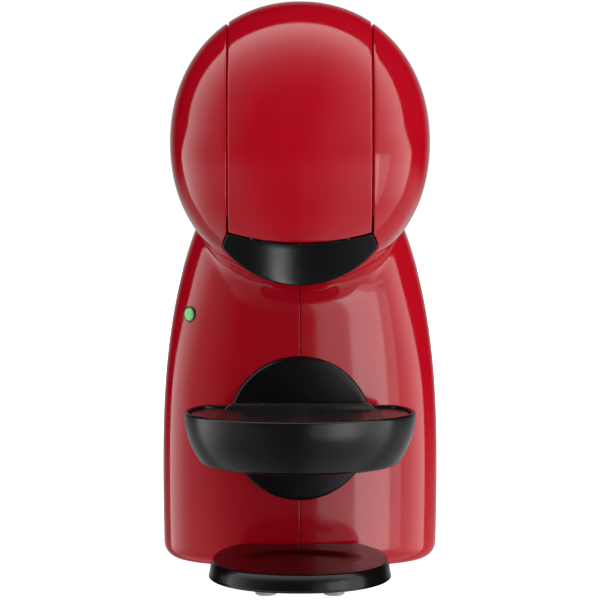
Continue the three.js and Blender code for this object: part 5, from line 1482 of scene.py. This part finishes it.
# ---------------------------------------------------------------- power button
@dataclass
class PowerButton:
    """Lit lens in its bezel on the left flank; its axis points left and forwards at 45 degrees."""

    x: float = -54.75
    z: float = 125.0
    hole_radius: float = 4.05
    ring: Table = (
        (3.35, -11.5), (3.95, -11.5), (3.95, 0.5), (3.85, 0.55), (3.6, 0.55), (3.35, 0.3), (3.35, -11.5))
    lens: Table = ((0, -10), (3.27, -10), (3.27, 0.7), (2.7, 1.0), (1.4, 1.1), (0, 1.1))

    def seat(self, points: Array) -> Array:
        """Moves points from the button's own frame, +Z outwards, to its seat on the flank."""
        half = math.sqrt(0.5)
        turn = np.array([[half, -half, 0.0], [0.0, 0.0, 1.0], [-half, -half, 0.0]])
        width = float(COLUMN.width(np.array(self.z)))
        share = abs(self.x) / width
        depth = COLUMN.mid_y - COLUMN.front_y
        y = COLUMN.mid_y - depth * (1 - share**COLUMN.front_power) ** (1 / COLUMN.front_power)
        y += COLUMN.keel * abs(self.x) * (1 - share)
        return points @ turn + np.array([self.x, y, self.z])

    def turned(self, profile: Table, radius: float) -> Skin:
        """Rounded profile turned about the button's axis."""
        skin = turned(rounded(profile, radius, 4, closed=False), sides=48)
        return Skin(self.seat(skin.points), skin.quads).facing_away(self.seat(np.array([[0, 0, -5.0]]))[0])

    def hole(self) -> Skin:
        """Cutter for the hole in the left shell."""
        return self.turned(((0, -8), (self.hole_radius, -8), (self.hole_radius, 9), (0, 9)), 0.0)

    def build(self, kit: Kit) -> None:
        """Makes bezel and lens."""
        ring, lens = self.turned(self.ring, 0.05), self.turned(self.lens, 0.3)
        kit.add("button_bezel_ring", ring, Finishes.BLACK, "machine", "gloss_black", "button_bezel")
        kit.add("power_button_lens", lens, Finishes.GREEN, "button", "green_light", "power_button")


# ---------------------------------------------------------------- water tank, lid and selector
@dataclass
class WaterTank:
    """Clear tank that completes the column behind, open on top, with a spout below, and its lid."""

    middle: tuple[float, float] = (0.0, 86.0)
    half_width: float = 55.0
    front_y: float = 64.0
    low_z: float = 28.0
    top_z: float = 203.0
    wall: float = 2.0
    spout: float = 7.7
    spout_z: float = 23.0
    hole: float = 4.0
    lid_low_z: float = 203.6
    lid_high_z: float = 208.6
    lid_back_y: float = 107.0
    lid_edges: tuple[float, float] = (0.4, 1.8)  # radius below and above
    lid_rim: float = 5.0
    lid_dish: float = 0.7
    sides: int = 160

    def way(self) -> Array:
        """Unit directions in plan, once round."""
        angle = once_round(self.sides)
        return at_places(np.sin(angle), np.cos(angle), 0.0)

    def circle(self, radius: float, z: float) -> Array:
        """Circle about the spout's axis at a height."""
        return np.array([*self.middle, z]) + self.way() * radius

    def ring(self, inset: float, z: float, back_y: float = 110.0) -> Array:
        """Outline at a height: the column's plan cut off in front and behind, drawn in by an inset."""
        way, start = self.way(), np.array([*self.middle, z])

        def size(reach: Array) -> Array:
            """Below zero inside the outline, at a distance along each direction."""
            at = start + way * reach[:, None]
            front, behind = self.front_y + inset - at[:, 1], at[:, 1] - back_y + inset
            return soft_max(soft_max(COLUMN.plan(at, inset, self.half_width), front, 4.0), behind, 0.5)

        reach = solve_rising(size, np.zeros(self.sides), np.full(self.sides, 90.0))
        return start + way * reach[:, None]

    def tank(self) -> Skin:
        """Rings from the spout's bore over its mouth, the floor, the outside, the rim and back down inside."""
        r, floor, soft, fillet = self.wall, self.low_z + self.wall, 0.3, 0.4
        inner, outer, mouth, low = self.hole, self.spout, self.spout_z, self.low_z
        bore = [(inner, floor), (inner, mouth + soft), (inner + soft, mouth), (outer - soft, mouth),
                (outer, mouth + soft), (outer, low - fillet), (outer + fillet, low)]
        rings = [self.circle(*step) for step in bore]
        quarter, half = roll(5)[1:], np.linspace(0, math.pi, 7)[1:]
        rings += [blend(rings[-1], self.ring(r, self.low_z), share) for share in np.linspace(0, 1, 7)[1:]]
        rings += [self.ring(r - r * math.sin(a), floor - r * math.cos(a)) for a in quarter]
        rings += [self.ring(0.0, z) for z in np.linspace(floor, self.top_z - r / 2, 40)[1:]]
        rings += [self.ring(r / 2 * (1 - math.cos(a)), self.top_z - r / 2 * (1 - math.sin(a))) for a in half]
        rings += [self.ring(r, z) for z in np.linspace(self.top_z - r / 2, floor + r, 40)[1:]]
        rings += [self.ring(r + r * (1 - math.cos(a)), floor + r - r * math.sin(a)) for a in quarter]
        rings += [blend(rings[-1], rings[0], share) for share in np.linspace(0, 1, 7)[1:]]
        return tube(rings, capped=False)

    def lid(self) -> Skin:
        """Slab with a soft upper edge and a shallow dish on top."""
        low, high, back, (r, top) = self.lid_low_z, self.lid_high_z, self.lid_back_y, self.lid_edges
        rim, dish = self.lid_rim, self.lid_dish
        rings = [self.ring(r * (1 - math.sin(a)), low + r * (1 - math.cos(a)), back) for a in roll(5)]
        rings += [self.ring(top * (1 - math.cos(a)), high - top * (1 - math.sin(a)), back) for a in roll(5)]
        rings += [self.ring(rim + 1.2 * a, high - dish * math.sin(a) ** 2, back) for a in roll(5)]
        middle = np.array([*self.middle, high - dish])
        inner = rings[-1]
        return tube(rings + [blend(inner, middle, share) for share in (0.3, 0.6, 0.85)])

    def build(self, kit: Kit) -> None:
        """Makes tank and lid."""
        kit.add("water_tank_shell", self.tank(), Finishes.SMOKE, "tank", "tank_smoke", "water_tank")
        kit.add("tank_lid_cap", self.lid(), Finishes.BLACK, "lid", "gloss_black", "tank_lid")


@dataclass
class Selector:
    """Lever on the head: a hub, a thin blade and a round tip, carried along the machine's depth."""

    hub: tuple[float, float] = (232.0, 7.0)
    tip: tuple[float, float] = (267.8, 4.2)
    blade: float = 2.6
    hub_join: float = 2.5
    tip_join: float = 2.0
    edge: float = 1.2
    front_y: float = 38.0
    back_y: float = 46.0

    def build(self, kit: Kit) -> None:
        """Makes the lever; at each height it is as wide as hub, blade or tip, softly joined."""
        (low, r), (high, s) = self.hub, self.tip
        z = np.concatenate([low - r * np.cos(np.linspace(0, 2.6, 18)), np.linspace(low + 7.5, high - 4.5, 14),
                            high - s * np.cos(np.linspace(0.6, math.pi, 16))])
        hub = np.sqrt(np.maximum(0.0, r**2 - (z - low) ** 2))
        tip = np.sqrt(np.maximum(0.0, s**2 - (z - high) ** 2))
        waist = soft_max(soft_max(hub, np.full_like(z, self.blade), self.hub_join), tip, self.tip_join)
        wide = np.where(z < low, hub, np.where(z > high, tip, waist))
        outline = np.concatenate([np.stack([z, -wide], -1), np.stack([z, wide], -1)[-2:0:-1]])
        lever = prism(outline, self.front_y, self.back_y, self.edge, Axis.Y)
        kit.add("selector_lever_blade", lever, Finishes.BLACK, "selector", "gloss_black", "selector_lever",
                sharp=40.0)


# ---------------------------------------------------------------- studio
@dataclass
class Studio:
    """Camera, pale floor and soft light: a tent of bright walls with its open end behind the object."""

    focal_pixels: float = 1761.0
    frame_pixels: float = 600.0
    sensor: float = 36.0
    eye: Level = (0.0, -0.880, 0.1635)
    pitch: float = 2.06
    card_height: float = 0.26
    card_away: float = 0.4
    card_aim: Level = (0.03, -0.02, 0.045)
    cards: list[bpy.types.Object] = field(default_factory=list)
    CARDS: ClassVar[tuple] = (("card_narrow", 35.0, 26.0, 2.2), ("card_wide", 33.0, 54.0, 1.2))
    DRAWER_CARD: ClassVar[tuple] = ("card_drawer", -17.0, 9.0, 13.0)
    FLOOR_RINGS: ClassVar[tuple[float, ...]] = (0.0, 0.2, 0.5, 1.0, 2.0, 4.0, 8.0)  # metres
    SOFT: ClassVar[Table] = ((0, 0.6), (0.25, 0.5), (0.5, 0.55), (0.75, 1.1), (1.0, 1.0))
    RIGHT: ClassVar[Table] = (
        (0, 0.03), (0.08, 0.08), (0.18, 0.22), (0.3, 0.34), (0.42, 0.55), (0.52, 0.78), (0.67, 1.35),
        (0.77, 2.1), (0.92, 3.0), (0.985, 3.2), (1.0, 0.0))
    TOP: ClassVar[Table] = (
        (0, 0.03), (0.3, 0.08), (0.4, 0.23), (0.47, 0.43), (0.54, 0.65), (0.6, 1.1), (0.7, 1.75), (0.8, 2.8),
        (0.93, 3.7), (0.985, 3.8), (1.0, 0.0))
    LEFT: ClassVar[Table] = (
        (0, 0.03), (0.25, 0.03), (0.3, 0.08), (0.35, 0.17), (0.42, 0.27), (0.57, 0.5), (0.65, 0.85),
        (0.75, 1.55), (0.88, 2.35), (0.985, 2.85), (1.0, 0.0))

    def camera(self) -> None:
        """Level camera in front of the machine, tipped down slightly."""
        data = bpy.data.cameras.new("camera")
        data.sensor_width = self.sensor
        data.lens = self.focal_pixels / self.frame_pixels * self.sensor
        data.clip_start, data.clip_end = 0.05, 50.0
        camera = linked("camera", data)
        camera.location = self.eye
        camera.rotation_euler = (math.radians(90 - self.pitch), 0.0, 0.0)
        bpy.context.scene.camera = camera

    def floor(self) -> None:
        """Round pale floor with faint unevenness."""
        rings = [(radius / MM, 0.0) for radius in self.FLOOR_RINGS]
        skin = turned(rings, sides=96).facing_away((0, 0, -100))
        finish = Finish("studio_floor", (0.9, 0.9, 0.9), 0.6, 0.05, 0.004, specular=0.0, relief=2e-5, glow=1.2)
        floor = linked("floor", mesh_of("floor", skin))
        floor.data.materials.append(finish.material())
        floor.visible_glossy = floor.visible_diffuse = floor.visible_shadow = False
        floor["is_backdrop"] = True

    def tent(self) -> None:
        """World light as a function of direction: bright walls at the sides and above, dark in front.

        Each wall's light is a table over the angle from straight ahead, as a share of the wall's far limit;
        that limit lies further back on the left and below the horizon. Under the horizon the walls fade, and
        the open end behind stays dim. Matt surfaces get a smoother light that is stronger on the right; rays
        are drawn by the surfaces alone, so that each kind meets its own light.
        """
        world = bpy.data.worlds.new("studio")
        world.use_nodes = True
        world.cycles.sampling_method = "NONE"
        bpy.context.scene.world = world
        tree = world.node_tree
        tree.nodes.clear()
        where = tree.nodes.new("ShaderNodeTexCoord").outputs["Generated"]
        split = new_node(tree, "ShaderNodeSeparateXYZ", {0: where})
        x, y, z = (Signal(tree, split.outputs[i]) for i in range(3))
        off = (y * -1.0).math("ARCCOSINE")
        height = z.math("ARCSINE")
        bearing = x.math("ARCTAN2", y * -1.0)
        side = z.math("MAXIMUM", 0.0).math("ARCTAN2", x)  # 0 on the right, a right angle above, pi on the left
        above, left = side.ramp(0.25, 1.35), side.ramp(1.8, 2.9)
        far = above * math.radians(3) + left * math.radians(13) + math.radians(88)
        way = (off * height.ramp(math.radians(-3), math.radians(9), 0.86, 1.0)).math("DIVIDE", far)
        sides = [way.table(stops) for stops in (self.RIGHT, self.TOP, self.LEFT)]
        wall = blend(blend(sides[0], sides[1], above), sides[2], left)
        wall = wall * height.ramp(math.radians(-36), math.radians(-4), 0.2, 1.0)
        low = bearing.ramp(0.05, 0.7, 0.06, 0.42) + (bearing * -1.0).ramp(0.14, 0.87, 0.0, 0.2)
        low = low * height.ramp(math.radians(-14), math.radians(-2), 1.0, 0.0)
        total = wall + low + off.ramp(2.36, 2.9, 0.0, 0.35)
        path = tree.nodes.new("ShaderNodeLightPath")
        seen, spread = (Signal(tree, path.outputs[word]) for word in ("Is Camera Ray", "Is Diffuse Ray"))
        soft = (x * 0.5 + 0.5).table(self.SOFT) + z * 0.1
        strength = blend(blend(total, soft, spread), seen, seen)
        background = new_node(tree, "ShaderNodeBackground", {"Color": (1, 1, 1, 1), "Strength": strength})
        new_node(tree, "ShaderNodeOutputWorld", {"Surface": background.outputs[0]})

    def card(self, name: str, bearing: float, width: float, level: float) -> bpy.types.Object:
        """Soft upright card in front of the column that shows only in gloss.

        Args:
            name: Name of the card's light.
            bearing: Degrees from the front, to the right, seen from the column.
            width: Its width in degrees.
            level: Its radiance.

        Returns:
            The light.
        """
        data = bpy.data.lights.new(name, "AREA")
        data.shape = "RECTANGLE"
        data.size, data.size_y = 2 * self.card_away * math.tan(math.radians(width / 2)), self.card_height
        data.energy = level * math.pi * data.size * data.size_y
        lamp = linked(name, data)
        turn = math.radians(bearing)
        x, y, z = self.card_aim
        lamp.location = (x + self.card_away * math.sin(turn), y - self.card_away * math.cos(turn), z)
        lamp.rotation_euler = (QUARTER, 0.0, turn)
        lamp.visible_diffuse = lamp.visible_camera = lamp.visible_transmission = False
        return lamp

    def build(self) -> None:
        """Sets up camera, floor, light and the plain view."""
        self.camera()
        self.floor()
        self.tent()
        self.cards += [self.card(*setting) for setting in self.CARDS]
        bpy.context.scene.view_settings.view_transform = "Standard"
        bpy.context.scene.view_settings.look = "None"

    def spare(self, panel: bpy.types.Object, drawer: bpy.types.Object) -> None:
        """Keeps the cards' light off the handle's panel and the drawer, which has a card of its own."""
        spared = bpy.data.collections.new("spared")
        for piece in (panel, drawer):
            spared.objects.link(piece)
        for member in spared.collection_objects:
            member.light_linking.link_state = "EXCLUDE"
        for card in self.cards:
            card.light_linking.receiver_collection = spared
        alone = bpy.data.collections.new("drawer_alone")
        alone.objects.link(drawer)
        self.card(*self.DRAWER_CARD).light_linking.receiver_collection = alone


# ---------------------------------------------------------------- the whole machine
class CoffeeMachine:
    """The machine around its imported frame."""

    def __init__(self) -> None:
        """Loads the frame."""
        self.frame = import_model()
        self.cad_box = self.box()
        self.kit = Kit()

    @staticmethod
    def box() -> list[list[float]]:
        """Lowest and highest corner of what shows, as plain lists."""
        low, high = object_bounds()
        return [list(low), list(high)]

    def dress(self) -> None:
        """Gives every CAD node that still shows the finish of its slot."""
        slots = {part["node"]: part["material_slot"] for part in self.frame["record"]["subparts"]}
        for name, node in self.frame["nodes"].items():
            for place in () if name in self.kit.replaced else node.material_slots:
                place.material = Finishes.BY_SLOT[slots[name]].material()

    def build(self) -> None:
        """Builds the studio and every piece in order."""
        studio = Studio()
        studio.build()
        for group in (HalfShells, HeadStrip, CapsuleHolder, DripTray, FootPlate, Underside, PowerButton,
                      WaterTank, Selector):
            group().build(self.kit)
            log.info("%s done", group.__name__)
        studio.spare(bpy.data.objects["locking_handle_panel"], bpy.data.objects["capsule_holder_drawer"])
        self.dress()

    def write_sizes(self) -> None:
        """Puts the CAD box and the visual model's box side by side in a dictionary that is not kept."""
        {"cad": self.cad_box, "visual": self.box()}


def main() -> None:
    """Builds the coffee machine."""
    logging.basicConfig(level=logging.INFO, format="%(message)s")
    machine = CoffeeMachine()
    machine.build()
    machine.write_sizes()


if __name__ == "__main__":
    main()
